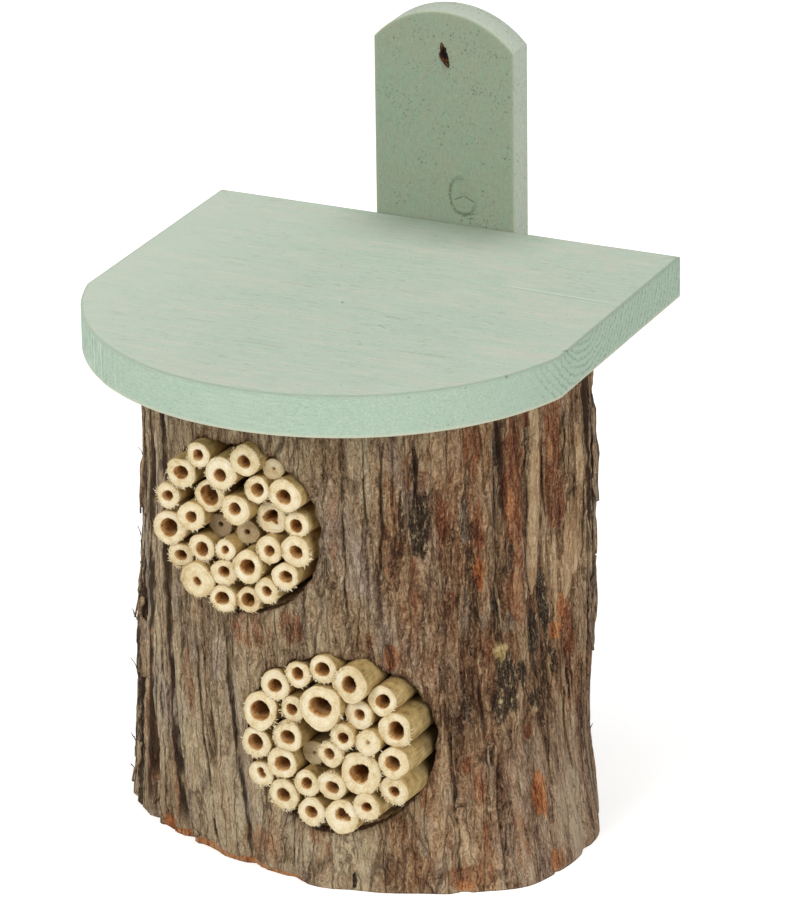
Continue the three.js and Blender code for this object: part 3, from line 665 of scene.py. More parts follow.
def makeLog(barkMaterial, sawnMaterial):
    angles = columnAngles()
    heights = np.linspace(0, logShape["height"], int(logShape["height"] / logShape["rowStep"]) + 1)
    grid, levels = np.meshgrid(angles, heights)
    bark, here = barkPoints(grid, levels)
    backSteps = np.linspace(0, 1, 40)[1:-1]
    first, last = bark[:, :1], bark[:, -1:]
    back = last + (first - last) * backSteps[None, :, None]
    rings = np.concatenate([bark, back], 1)
    rows, count = rings.shape[:2]
    values = {key: np.concatenate([v, np.zeros((rows, len(backSteps)))], 1) for key, v in here.items()}
    depthBack = np.maximum(0, logShape["baseRadius"] - np.hypot(back[..., 0], logShape["axisToBack"]))
    values["depthIn"] = np.concatenate([np.zeros(bark.shape[:2]), depthBack], 1)

    # The rim of each pocket: points near it move onto it, and faces inside it are left out
    points = rings.reshape(-1, 3)
    inside = np.zeros(len(points), bool)
    nearRim = np.full(len(points), 99.0)
    for pocket in pocketShapes:
        gap, rim = pocketGap(points, pocket)
        snap = np.abs(gap) < 0.5 * logShape["rowStep"]
        centre = np.array([pocket["x"], pocket["z"]])
        away = points[:, [0, 2]] - centre
        scaled = centre + away * (rim / np.maximum(np.hypot(*away.T), 1e-6))[:, None]
        points[np.ix_(snap, [0, 2])] = scaled[snap]
        inside |= (gap < 0) & ~snap
        nearRim = np.minimum(nearRim, np.abs(gap))
    values = {key: v.reshape(-1) for key, v in values.items()}
    # near the pockets' rims the bark is redder, and darker as painted shade
    rimStainAndShade = smoothStep(2.2, 0.3, nearRim + 0.8 * softNoise(points[:, 0] / 2, points[:, 2] / 2, 95))
    values["redBark"] = np.maximum(values["redBark"], 0.25 * rimStainAndShade)
    values["crack"] = np.maximum(values["crack"], 0.3 * rimStainAndShade)
    sides = loftFaces(rows, count)
    onBack = (sides % count >= len(angles) - 1).sum(1) >= 3
    kept = ~inside[sides].any(1)
    sides, onBack = sides[kept], onBack[kept]

    parts, slots = [sides], [np.where(onBack, 1, 0)]
    allPoints, depths = [points], [values["depthIn"]]
    total = len(points)

    # Walls and floors of the pockets, from the open edges back into the wood
    edges = np.concatenate([sides[:, [0, 1]], sides[:, [1, 2]], sides[:, [2, 3]], sides[:, [3, 0]]])
    ordered = np.sort(edges, 1)
    _, place, times = np.unique(ordered, axis=0, return_inverse=True, return_counts=True)
    open_ = edges[times[place.ravel()] == 1]
    atEnd = (open_ < count).all(1) | (open_ >= (rows - 1) * count).all(1)
    rimEdges = open_[~atEnd]
    floorY = logShape["axisToBack"] + logShape["axisY"] - logShape["wallBehind"]
    for pocket in pocketShapes:
        fromMiddle = np.hypot(points[:, 0] - pocket["x"], points[:, 2] - pocket["z"])
        close = np.abs(fromMiddle - pocket["radius"]) < 4
        edgesHere = rimEdges[close[rimEdges].all(1)]
        ids = np.unique(edgesHere)
        newId = {old: total + k for k, old in enumerate(ids)}
        wall = points[ids].copy()
        depth = floorY - wall[:, 1]
        wall[:, 1] = floorY
        quads = [[b, a, newId[a], newId[b]] for a, b in edgesHere.tolist()]
        middle = total + len(ids)
        fans = [[newId[b], newId[a], middle, middle] for a, b in edgesHere.tolist()]
        allPoints += [wall, [[pocket["x"], floorY, pocket["z"]]]]
        depths += [depth, [60.0]]
        parts += [np.array(quads), np.array(fans)]
        slots += [np.ones(len(quads)), np.ones(len(fans))]
        total += len(ids) + 1

    # Sawn ends, in loops that close in on the axis, with the bark's thickness showing
    insets = [0.8, 2.5, 4.6, 5.4, 9, 18, 30, 45, 60]
    for level, flip in ((0, True), (rows - 1, False)):
        outer = rings[level]
        start = level * count
        axis = np.array([0, logShape["axisY"], heights[level]])
        reach = np.hypot(outer[:, 0], outer[:, 1] - logShape["axisY"])
        ids = [np.arange(start, start + count)]
        for inset in insets:
            ids.append(np.arange(total, total + count))
            allPoints.append(axis + (outer - axis) * np.maximum(0.02, 1 - inset / reach)[:, None])
            depths.append(np.full(count, float(inset)))
            total += count
        for a, b in zip(ids, ids[1:]):
            quads = np.stack([a, np.roll(a, -1), np.roll(b, -1), b], -1)
            parts.append(quads[:, ::-1] if flip else quads)
            slots.append(np.ones(count))
        cap = ids[-1][::-1] if flip else ids[-1]
        parts.append(cap[None, :])
        slots.append(np.ones(1))

    allPoints = np.concatenate([np.asarray(p, float) for p in allPoints])
    padded = {key: np.concatenate([v, np.zeros(len(allPoints) - len(v))]) for key, v in values.items()}
    padded["depthIn"] = np.concatenate([np.asarray(d, float) for d in depths])
    faces = [face for part in parts for face in np.asarray(part).tolist()]
    faces = [face[:3] if len(face) == 4 and face[2] == face[3] else face for face in faces]
    padded.pop("out")
    piece = makePiece("log_with_bark", allPoints * mm, faces, [barkMaterial, sawnMaterial],
                      np.concatenate([np.asarray(s) for s in slots]), padded)
    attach(piece, "root")
    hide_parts("log")
    print("log:", len(faces), "faces")


barkMaterial = makeBarkMaterial()
sawnMaterial = makeSawnMaterial()
makeLog(barkMaterial, sawnMaterial)
makeLooseBark(barkMaterial)


# Canes: bamboo and reed, sawn across, dry and pale. The cut face is cream with a yellower rim,
# the skin is straw with a faint gloss, and the hollow is lined in tan.

caneShape = {"round": 56, "edge": 0.22, "faceTilt": 0.05, "faceRelief": 0.22, "grow": 1.045, "bendLength": 12}

# How the canes' front ends sit, per pocket: slopes of the cane behind its face, sideways and down
caneBends = {"upper": (0.05, -0.1), "lower": (0.0, -0.13)}

# What stands out on single canes. Angles are in degrees from +X towards +Z, seen from the front.
caneLooks = {
    "upper_01": {"tone": 0.2}, "upper_02": {"fray": 46, "frayAt": 110, "long": 1.2},
    "upper_05": {"tone": -0.5}, "upper_07": {"oval": 0.8, "ovalAt": 120, "grow": 1.1},
    "upper_12": {"tone": -0.1}, "upper_13": {"tone": -1.6, "grow": 1.15},
    "upper_14": {"torn": 0.62, "fray": 50, "frayAt": 200, "long": 1.6},
    "upper_16": {"tone": -0.9, "fray": 30}, "upper_20": {"grow": 1.1, "frayAt": 0, "fray": 24},
    "upper_24": {"oval": 0.75, "ovalAt": 130}, "upper_26": {"fray": 80, "frayAt": -100, "long": 2.4},
    "upper_27": {"fray": 36, "frayAt": -60}, "upper_28": {"fray": 34, "frayAt": -80},
    "lower_04": {"torn": 0.2, "fray": 30, "frayAt": 170}, "lower_05": {"grow": 1.06},
    "lower_08": {"back": 3}, "lower_09": {"back": 3, "grow": 1.07}, "lower_18": {"grow": 1.1},
    "lower_23": {"grow": 1.1}, "lower_25": {"back": -1.4, "grow": 1.07},
    "lower_07": {"fray": 60, "frayAt": -110, "oval": 0.9, "ovalAt": 0, "torn": 0.12},
    "lower_10": {"fray": 90, "frayAt": -75, "long": 1.8, "torn": 0.1, "back": 2.6},
    "lower_12": {"fray": 80, "frayAt": 190, "long": 1.7},
    "lower_14": {"tone": 0.1, "fray": 30, "back": -2.6}, "lower_15": {"tone": -0.9, "fray": 20},
    "lower_16": {"fray": 30, "frayAt": 80},
    "lower_19": {"torn": 0.24, "fray": 20, "frayAt": -40, "back": 2},
    "lower_20": {"oval": 0.5, "ovalAt": 115, "torn": 0.2}, "lower_22": {"fray": 34, "frayAt": 110},
    "lower_26": {"fray": 90, "frayAt": -100, "long": 1.7},
    "lower_27": {"torn": 0.6, "fray": 70, "frayAt": -80, "long": 1.6, "grow": 1.07},
}


# Torn fibres on the rim of a cut, each a thin tapered splinter
def splinters(rng, look, centre, radius, front):
    points, faces = [], []
    for _ in range(look["fray"]):
        turn = math.radians(look["frayAt"] + rng.normal(0, 48))
        outward = np.array([math.cos(turn), 0, math.sin(turn)])
        sideways = np.array([-math.sin(turn), 0, math.cos(turn)])
        base = centre + outward * radius * rng.uniform(0.9, 1.0)
        base = base + np.array([0, front + rng.uniform(0, 0.4), 0])
        length = look["long"] * rng.uniform(0.35, 1.0)
        lean, curl = rng.uniform(0.2, 1.0), rng.normal(0, 0.5)
        thick = rng.uniform(0.16, 0.38)
        first = len(points)
        for share in (0.0, 0.45, 0.8, 1.0):
            middle = base + length * share * (outward * lean + sideways * curl * share)
            middle[1] -= length * share * (0.35 - 0.45 * share)
            width = thick * (1 - share) + 0.02
            for side in range(3):
                around = side * 2 * math.pi / 3
                aside = sideways * math.cos(around) + np.array([0, math.sin(around), 0])
                points.append(middle + width * aside)
        for step in range(3):
            for side in range(3):
                a, b = first + step * 3 + side, first + step * 3 + (side + 1) % 3
                faces.append([a, b, b + 3, a + 3])
        faces.append([first + 2, first + 1, first])
        faces.append([first + 9, first + 10, first + 11])
    return points, faces


def makeCane(nodeName, number, materials):
    rng = np.random.default_rng(500 + number)
    look = {"fray": 50, "frayAt": -110, "long": 1.8, "tone": 0.0, "torn": 0.07, "oval": 0.92, "back": 0.0,
            "ovalAt": rng.uniform(0, 180), "grow": caneShape["grow"]}
    look.update(caneLooks.get(nodeName.replace("cane_", ""), {}))
    centreX, front, centreZ, radius, bore, backEnd = caneFacts(nodeName)
    front += look["back"]
    bend = caneBends[nodeName.split("_")[1]]
    count = caneShape["round"]
    turn = np.linspace(0, 2 * math.pi, count, endpoint=False)
    radius, bore = radius * look["grow"], bore * look["grow"]
    shape = 1.01 + 0.1 * ringNoise(turn, 1.1, 300 + number) + 0.03 * ringNoise(turn, 3, 360 + number)
    ragged = 0.022 * ringNoise(turn, 14, 420 + number)
    ovalTurn = turn - math.radians(look["ovalAt"])
    boreShape = np.hypot(np.cos(ovalTurn), look["oval"] * np.sin(ovalTurn))
    tears = 1.3 * ringNoise(turn, 0.9, 480 + number) + 0.25 * ringNoise(turn, 6, 540 + number)
    boreShape += look["torn"] * tears
    tilt = rng.normal(0, caneShape["faceTilt"], 2) + (0, 0.06)
    shift = rng.normal(0, 0.035, 2) * radius
    loops, across, depths, slotOf = [], [], [], []

    def addLoop(reach, y, share, slot):
        reach, y = np.broadcast_to(reach, turn.shape), np.broadcast_to(y, turn.shape)
        behind = np.maximum(0, y - front - 1)
        sag = caneShape["bendLength"] * (1 - np.exp(-behind / caneShape["bendLength"]))
        drift = shift * max(0, 1 - share) if slot else shift * 0
        x = reach * np.cos(turn) + drift[0] + bend[0] * sag
        z = reach * np.sin(turn) + drift[1] + bend[1] * sag
        loops.append(np.stack([x, y, z], -1))
        across.append(np.full(count, share))
        depths.append(behind)
        slotOf.append(slot)

    def faceY(reach):
        slope = tilt[0] * reach * np.cos(turn) + tilt[1] * reach * np.sin(turn)
        rough = caneShape["faceRelief"] * ringNoise(turn, 6, 700 + number + int(10 * np.mean(reach)))
        return front + 0.35 + slope + rough

    addLoop(0.02, backEnd, 1, 0)
    addLoop(radius * shape * 0.96, backEnd, 1, 0)
    joint = rng.uniform(5, 30)
    for behind in sorted((60, 40, 24, joint + 1.5, joint, joint - 1.5, 3.4, 2.2), reverse=True):
        ridge = 0.035 * math.exp(-(((behind - joint) / 1.2) ** 2))
        addLoop(radius * (shape - 0.015 + ridge), front + behind, 1, 0)
    addLoop(radius * (shape - 0.005), front + 1.4, 1, 0)
    addLoop(radius * (shape + 0.5 * ragged), faceY(radius) + caneShape["edge"], 1, 0)
    addLoop(radius * (shape + ragged) - caneShape["edge"], faceY(radius), 0.98, 1)
    innerEdge = bore * boreShape if bore else np.full(count, 0.2 * radius)
    for share in (0.93, 0.85, 0.75, 0.62, 0.46, 0.3, 0.14):
        reach = innerEdge + (radius * shape - caneShape["edge"] - innerEdge) * share
        addLoop(reach, faceY(reach), share, 1)
    if bore:
        addLoop(innerEdge + 0.08, faceY(innerEdge), 0.02, 1)
        addLoop(innerEdge - 0.05, faceY(innerEdge) + 0.25, 0, 2)
        for deep in (1.5, 3, 6, 10, 18, 36):
            addLoop(innerEdge * 0.97 + 0.08 * ringNoise(turn, 3 + deep, 1100 + number), front + deep, 0, 2)
        addLoop(bore * 0.95, backEnd - 3, 0, 2)
        addLoop(0.02, backEnd - 3, 0, 2)
    else:
        addLoop(innerEdge, faceY(innerEdge) + 0.15, 0.1, 1)
        addLoop(innerEdge * 0.45, faceY(innerEdge) + 0.4, 0.02, 1)
        addLoop(0.02, front + 4.5, 0, 2)

    middle = np.array([centreX, 0, centreZ])
    points = np.concatenate(loops) + middle
    faces = loftFaces(len(loops), count)[:, ::-1]
    slots = np.repeat(slotOf[1:], count)
    shares, depths = np.concatenate(across), np.concatenate(depths)
    splinterPoints, splinterFaces = splinters(rng, look, middle, radius * 0.98, front + 0.2)
    faces = faces.tolist() + [[i + len(points) for i in face] for face in splinterFaces]
    slots = np.concatenate([slots, np.ones(len(splinterFaces))])
    points = np.concatenate([points, np.array(splinterPoints)])
    shares = np.concatenate([shares, np.full(len(splinterPoints), 0.5)])
    depths = np.concatenate([depths, np.zeros(len(splinterPoints))])
    # a cane's tone varies at random, and a low tone set in caneLooks also brings painted shade
    tone = look["tone"] + rng.normal(0, 0.2)
    values = {"across": shares, "behind": depths, "caneTone": np.full(len(points), tone)}
    piece = makePiece(nodeName + "_cut", points * mm, faces, materials, slots, values)
    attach(piece, "root")
    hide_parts(nodeName)


# For each face of a cane: how its fibres are stretched, its colours, where painted shade darkens it on
# the way in, from and to in mm, by how much, its roughness and its specular level
caneFinishes = {
    "caneSkin": {
        "fibres": (3.2, 0.14, 3.2), "from": 6.0, "to": 20.0, "shade": "#3A2B18", "most": 0.8, "rough": 0.5,
        "shine": 0.35, "ramp": [(0.3, "#826A40"), (0.43, "#AC915A"), (0.56, "#C6A96F"), (0.75, "#DEC792")]},
    "caneCutFace": {
        "fibres": (2.6, 1.2, 2.6), "from": 50.0, "to": 60.0, "shade": "#3A2B18", "most": 0.0, "rough": 0.8,
        "shine": 0.2, "ramp": [(0.3, "#C9AD7E"), (0.42, "#E1CB9D"), (0.54, "#EFDFBA"), (0.75, "#FAF0D8")]},
    "caneHollow": {
        "fibres": (2.2, 0.2, 2.2), "from": 2.2, "to": 17.0, "shade": "#2C190A", "most": 0.92, "rough": 0.8,
        "shine": 0.2, "ramp": [(0.34, "#8A5A2A"), (0.44, "#B98649"), (0.56, "#D5A96F"), (0.72, "#E6C894")]},
}


def makeCaneMaterial(name, finish):
    material, tree, shader, inMm = newMaterial(name)
    add = partial(addNode, tree)
    value = {key: add("Attribute", attribute_name=key).outputs["Fac"]
             for key in ("caneTone", "across", "behind")}
    fibres = makeGrains(tree, inMm, {"fibres": (finish["fibres"], 3.0, 0.6)})["fibres"]
    cloud = add("TexNoise", {"Vector": inMm, "Scale": 0.3, "Detail": 2.0})
    tone = -0.08
    for source, share in ((fibres, 0.6), (cloud, 0.6), (value["caneTone"], 0.1)):
        tone = add("Math", {0: source, 1: share, 2: tone}, operation="MULTIPLY_ADD")
    colour = add("ValToRGB", {"Fac": tone}, stops=finish["ramp"]).outputs["Color"]
    layers = []
    if name == "caneCutFace":
        rings = add("ValToRGB", {"Fac": value["across"]}, stops=[
            (0.0, "#FFFFFF"), (0.07, "#D0D0D0"), (0.13, "#000000"), (0.66, "#000000"), (0.74, "#606060"),
            (0.79, "#8A8A8A"), (0.84, "#202020"), (0.88, "#000000"), (0.95, "#101010"), (0.99, "#FFFFFF")])
        layers += [([(value["across"], 0.55, 1.0), 0.5], "#D9C593"), ([rings, 0.6], "#A07A48")]
    # painted shade: the skin and the hollow grow darker the further they lie behind the cut face
    layers.append(([(value["behind"], finish["from"], finish["to"]), finish["most"]], finish["shade"]))
    layers.append(([(value["caneTone"], -0.375, -1.625)], "#A28C6C"))  # canes of low tone are greyer, partly their own grey and partly painted shade where they sit further in
    colour = layOver(tree, colour, layers)
    dressShader(tree, shader, colour, fibres, 0.6, 0.15, finish["rough"], finish["shine"])
    return material


caneMaterials = [makeCaneMaterial(name, finish) for name, finish in caneFinishes.items()]
for number, name in enumerate(caneNodes):
    makeCane(name, number, caneMaterials)
print("canes:", len(caneNodes))


# Painted boards: planed softwood under one thin coat of chalky paint, worn on the arrises.
# It gives a matte, mottled sage green with fine brush lines, pinholes and the end grain showing.

roofShape = {"width": 176, "depth": 171, "sideLength": 103, "under": 175, "over": 190, "back": 79.5,
             "arris": 0.6, "pointStep": 1.1}
boardShape = {"width": 53, "thickness": 11.85,  # the screw heads stand 0.15 mm proud of its back
              "foot": 12, "crown": 267, "archRise": 12, "middle": -0.8, "screwHeights": (182.5, 35),
              "front": 79.5, "arris": 0.5, "pointStep": 0.9, "holeHeight": 251,
              "knotX": 6.3, "knotZ": 200.6, "knotHalfWidth": 5.2, "knotHalfHeight": 6.9}

roofPaint = {
    "coat": [(0.36, "#C7C6B6"), (0.5, "#B9C6B5"), (0.64, "#B1C3B0")],
    "lines": (0.07, 1.5, 1.5), "streak": (0.02, 0.24, 0.24), "lineShare": 0.34, "mottleShare": 0.32,
    "dash": "#93806B", "dashStretch": (0.16, 2.0, 2.0), "dashShare": 0.85,
    "ring": "#7B907E", "ringSpacing": 2.6, "ringShare": 0.8, "ringBend": 4, "endAxis": "X", "endFrom": 0.9,
    "edge": "#ABC2AE", "edgeShare": 0.75, "arrisTop": "#84937F", "arrisUnder": "#DDD8BE",
    "speck": "#7F9482", "speckSpacing": 2.2, "speckSize": 0.42, "speckShare": 0.4,
    "ringCentre": (0, -3, 202), "ringFlatten": (0.02, 1, 1), "axes": "XY", "through": "Z",
    "faceFrom": 189.0, "faceTo": 189.4,
}
boardPaint = {
    "coat": [(0.36, "#949A84"), (0.5, "#8F9B86"), (0.64, "#889E88")],
    "lines": (1.5, 1.5, 0.5), "streak": (0.5, 0.5, 0.12), "lineShare": 0.24, "mottleShare": 0.35,
    "dash": "#6F7F69", "dashStretch": (1.6, 1.6, 0.5), "dashShare": 0.3,
    "ring": "#8FA08A", "ringSpacing": 2.4, "ringShare": 0.25, "ringBend": 3, "endAxis": "Z", "endFrom": 0.72,
    "edge": "#BBC4B4", "edgeShare": 1.0, "arrisTop": "#A9AE90", "arrisUnder": "#7E8A76",
    "speck": "#56695A", "speckSpacing": 1.35, "speckSize": 0.38, "speckShare": 0.75,
    "ringCentre": (30, 200, 0), "ringFlatten": (1, 1, 0.02), "axes": "XZ", "through": "Y",
    "faceFrom": 80.2, "faceTo": 79.8,
}

# Where the roof's paint is marked: strokes from one place to another on its top, width, colour, strength
roofStrokes = [
    ((40, 30.2), (88, 28.5), 0.5, "#D5DCCB", 0.9), ((40, 29.2), (88, 27.4), 0.35, "#93A08C", 0.6),
    ((60, 33.4), (88, 32.2), 0.3, "#A9B4A0", 0.5), ((33, -39.9), (58, -38.2), 0.3, "#8E7F66", 0.7),
    ((-62, 18), (-44, 18.4), 0.35, "#A58F78", 0.5), ((-30, 4), (-14, 4.2), 0.35, "#A38E78", 0.5),
    ((-70, -4), (-58, -3.8), 0.3, "#9C8C74", 0.5), ((0, -30), (16, -29.6), 0.4, "#AF8F7C", 0.45),
    ((-20, -52), (4, -51.5), 0.5, "#B39684", 0.45), ((-44, -40), (-30, -39.8), 0.4, "#8F8A74", 0.5),
    ((10, 12), (24, 12.2), 0.3, "#9A8B76", 0.5), ((18, -12), (26, -12.4), 0.35, "#6F7564", 0.6),
    ((20, -20), (24, -23), 0.3, "#4F5A4C", 0.6), ((78, -46.5), (80.5, -45.5), 0.7, "#5B6653", 0.8),
    ((86.6, -19), (88, -17), 0.6, "#5B6653", 0.8),
]
# Where the hanging board's knot has cracked and been scratched, on its front
boardStrokes = [
    ((2.6, 198.6), (6.4, 200.6), 0.32, "#36412F", 0.95),
    ((6.2, 200.6), (11.0, 198.7), 0.32, "#36412F", 0.95),
    ((3.6, 202.6), (8.6, 200.2), 0.2, "#6E7C68", 0.6), ((3.4, 200.4), (8.8, 202.6), 0.2, "#6E7C68", 0.6),
    ((4.4, 196.6), (7.8, 196.2), 0.25, "#6E7C68", 0.6),
    ((6.6, 193.6), (11.4, 194.6), 0.4, "#5A6A56", 0.8),
    ((7.4, 192.4), (10.6, 192.8), 0.3, "#5A6A56", 0.8), ((8.6, 190.2), (9.2, 193.4), 0.4, "#66755F", 0.7),
    ((3.8, 206.4), (6.8, 206.8), 0.45, "#6B7A64", 0.7),
    ((10.8, 195.8), (12.6, 194.4), 0.3, "#66755F", 0.6),
]


def arcRadius(chord, rise):
    return ((chord / 2) ** 2 + rise ** 2) / (2 * rise)


# Points along straight runs, about a step apart
def runPoints(corners, step):
    points = []
    for a, b in zip(corners, corners[1:]):
        a, b = np.array(a, float), np.array(b, float)
        pieces = max(1, int(np.hypot(*(b - a)) / step))
        points += [a + (b - a) * k / pieces for k in range(pieces)]
    return points


def arcPoints(centre, radius, start, end, step):
    pieces = int(abs(end - start) * radius / step)
    turns = [start + (end - start) * k / pieces for k in range(pieces)]
    return [np.array([centre[0] + radius * math.cos(t), centre[1] + radius * math.sin(t)]) for t in turns]


def inwards(outline, distance):
    ahead, behind = np.roll(outline, -1, 0), np.roll(outline, 1, 0)
    along = ahead - behind
    along /= np.hypot(*along.T)[:, None]
    onward = (ahead - outline) / np.hypot(*(ahead - outline).T)[:, None]
    mitre = 1 / (along * onward).sum(1)[:, None]  # a corner moves further than a straight run
    return outline + np.reshape(distance, (-1, 1)) * mitre * np.stack([-along[:, 1], along[:, 0]], -1)


# One coat of paint on a board, and the layers that wear, dirt, painted shade and the wood lay over it
def paintedWood(name, paint, strokes, marksAndShadeOf):
    material, tree, shader, inMm = newMaterial(name)
    add = partial(addNode, tree)
    place = add("SeparateXYZ", {0: inMm}).outputs
    grain = makeGrains(tree, inMm, {
        "lines": (paint["lines"], 3.0, 0.6), "streak": (paint["streak"], 3.0, 0.6),
        "cloud": ((0.03,) * 3, 3.0, 0.6), "mottle": ((0.45,) * 3, 3.0, 0.6), "tooth": ((2.4,) * 3, 2.0, 0.6),
        "sway": ((0.12,) * 3, 2.0, 0.6), "pits": ((0.9,) * 3, 3.0, 0.6), "sparse": ((0.11,) * 3, 2.0, 0.6),
        "dashes": (paint["dashStretch"], 1.0, 0.6), "splinters": ((1.6, 1.6, 0.3), 3.0, 0.6)})
    tone = 0.5 - 0.5 * (paint["mottleShare"] + 0.6)
    for source, share in (("streak", 0.35), ("cloud", 0.25), ("mottle", paint["mottleShare"])):
        tone = add("Math", {0: grain[source], 1: share, 2: tone}, operation="MULTIPLY_ADD")
    coat = add("ValToRGB", {"Fac": tone}, stops=paint["coat"]).outputs["Color"]
    fine = add("Math", {0: grain["lines"], 1: 0.55}, operation="MULTIPLY")
    fine = add("Math", {0: grain["tooth"], 1: 0.75, 2: fine}, operation="MULTIPLY_ADD")
    brushed = add("ValToRGB", {"Fac": fine}, stops=[
        (0.45, "#7A7A7A"), (0.6, "#B4B4B4"), (0.68, "#C2C2C2"), (0.85, "#E6E6E6")]).outputs["Color"]
    colour, side = (
        add("Mix", {0: share, 6: below, 7: brushed}, data_type="RGBA", blend_type="OVERLAY").outputs[2]
        for share, below in ((paint["lineShare"], coat), (0.3, fromHex(paint["edge"]))))

    # The sides of the board, and its ends with the growth rings showing
    mark = {key: add("Attribute", attribute_name=key).outputs["Fac"]
            for key in ("edgeFace", "arrisTop", "arrisUnder", "rawWood")}
    rings = growthRings(tree, inMm, paint["ringCentre"], paint["ringFlatten"], grain["sway"],
                        paint["ringBend"], paint["ringSpacing"])
    facing = add("SeparateXYZ", {0: add("NewGeometry").outputs["Normal"]}).outputs[paint["endAxis"]]
    endwards = add("Math", {0: facing}, operation="ABSOLUTE")
    endGrain = whereAll(tree, [(rings, -0.1, 0.9), (grain["pits"], 0.4, 0.62), paint["ringShare"],
                               (endwards, paint["endFrom"], paint["endFrom"] + 0.08)])
    # Short dashes of bare wood, specks of two sizes, rubbed arrises and scratches
    layers = [
        ([mark["edgeFace"], paint["edgeShare"]], side),
        ([endGrain], paint["ring"]),
        ([(grain["dashes"], 0.66, 0.72), (grain["cloud"], 0.42, 0.6), paint["dashShare"]], paint["dash"]),
    ]
    for bigger, wider, low in ((1, 1, 0.5), (2.3, 1.5, 0.45)):
        spacing, size = bigger * paint["speckSpacing"], wider * paint["speckSize"]
        dots = add("TexVoronoi", {"Vector": inMm, "Scale": 1 / spacing, "Randomness": 1.0})
        layers.append(([(dots.outputs["Distance"], size / spacing, 0.4 * size / spacing),
                        (grain["sparse"], low - 0.03, low + 0.09), paint["speckShare"]], paint["speck"]))
    layers += [([mark["arrisTop"], 0.6], paint["arrisTop"]), ([mark["arrisUnder"], 0.8], paint["arrisUnder"])]
    onFace = (place[paint["through"]], paint["faceFrom"], paint["faceTo"])
    for start, end, width, code, strength in strokes:
        stroke = alongStroke(add, [place[axis] for axis in paint["axes"]], start, end, width)
        layers.append(([*stroke, (grain["tooth"], 0.34, 0.5), onFace, strength], code))
    layers += marksAndShadeOf(tree, inMm, place)
    splinters = add("ValToRGB", {"Fac": grain["splinters"]}, stops=[
        (0.4, "#2A1A12"), (0.52, "#523523"), (0.62, "#8A6547"), (0.72, "#BFA07A")]).outputs["Color"]
    colour = layOver(tree, colour, [*layers, ([mark["rawWood"]], splinters)])
    height = add("Math", {0: grain["lines"], 1: 0.6, 2: grain["tooth"]}, operation="MULTIPLY_ADD")
    height = add("Math", {0: endGrain, 1: -0.8, 2: height}, operation="MULTIPLY_ADD")
    dressShader(tree, shader, colour, height, 0.4, 0.15, 0.75, 0.22)
    return material


# Where a stroke between two places of a face runs, given in the two axes of that face
def alongStroke(add, axes, start, end, width):
    start, end = np.array(start, float), np.array(end, float)
    length = float(np.hypot(*(end - start)))
    along = (end - start) / length
    flat = add("CombineXYZ", {0: axes[0], 1: axes[1]})
    moved = add("VectorMath", {0: flat, 1: (-start[0], -start[1], 0)}, operation="ADD")
    run, off = (add("VectorMath", {0: moved, 1: aim}, operation="DOT_PRODUCT").outputs["Value"]
                for aim in ((*along, 0), (-along[1], along[0], 0)))
    middle = add("Math", {0: run, 1: length / 2}, operation="SUBTRACT")
    beside, within = (add("Math", {0: way}, operation="ABSOLUTE") for way in (off, middle))
    return (beside, width, 0.3 * width), (within, 0.5 * length, 0.3 * length)


# Paint paler towards the roof's left end, upright brush marks and pits on the edge there, and
# painted shade on the top in front of the hanging board's foot
def roofMarksAndShade(tree, inMm, place):
    grain = makeGrains(tree, inMm, {
        "pits": ((0.9, 0.9, 0.2), 3.0, 0.6), "brush": ((0.6, 0.6, 0.06), 3.0, 0.6)})
    aside = addNode(tree, "Math", {0: place["X"], 1: 2.0}, operation="SUBTRACT")
    aside = addNode(tree, "Math", {0: aside}, operation="ABSOLUTE")
    top, edge, leftEnd = (place["Z"], 189, 189.8), (place["Z"], 189.4, 188.6), (place["X"], -44, -64)
    return [
        ([(place["X"], -20, -84), top, 0.35], "#D2DBCB"),
        ([leftEnd, edge, (grain["pits"], 0.54, 0.64), 0.6], "#7E947F"),
        ([leftEnd, edge, (grain["brush"], 0.54, 0.64), 0.7], "#D4E0D2"),
        # painted shade: the roof's top is darker in front of the hanging board's foot
        ([(place["Y"], 52, 80), (aside, 44, 16), top, 0.58], "#66745E"),
    ]


# The knot of the hanging board, a darker oval ring that is broken at its right side, and painted shade:
# dark discs behind the cross slots of the two screws
def boardMarksAndShade(tree, inMm, place):
    add = partial(addNode, tree)
    grain = makeGrains(tree, inMm, {"sway": ((0.5,) * 3, 2.0, 0.6), "flaws": ((1.4,) * 3, 3.0, 0.6)})

    def around(x, z, halfWidth, halfHeight):
        moved = add("VectorMath", {0: inMm, 1: (-x, 0, -z)}, operation="ADD")
        scaled = add("VectorMath", {0: moved, 1: (1 / halfWidth, 0, 1 / halfHeight)}, operation="MULTIPLY")
        return scaled, add("VectorMath", {0: scaled}, operation="LENGTH").outputs["Value"]

    scaled, far = around(*(boardShape[key] for key in ("knotX", "knotZ", "knotHalfWidth", "knotHalfHeight")))
    uneven = add("Math", {0: grain["sway"], 1: 0.3, 2: far}, operation="MULTIPLY_ADD")
    off = add("Math", {0: add("Math", {0: uneven, 1: 1.15}, operation="SUBTRACT")}, operation="ABSOLUTE")
    turned = add("VectorMath", {0: scaled, 1: (0.75, 0, 0.6)}, operation="DOT_PRODUCT").outputs["Value"]
    front, back = (place["Y"], 80.2, 79.8), (place["Y"], 85, 86)
    layers = [([(uneven, 1.2, 1.0), front, 0.22], "#838F76"),
              ([(off, 0.16, 0.03), (turned, 0.8, -0.3), front, (grain["flaws"], 0.32, 0.46), 0.8], "#5C6A55")]
    # painted shade: a dark disc on the board's back under each screw head, seen through its cross slot
    for height in boardShape["screwHeights"]:
        layers.append(([(around(boardShape["middle"], height, 1, 1)[1], 3.8, 3.6), back], "#2A2724"))
    return layers


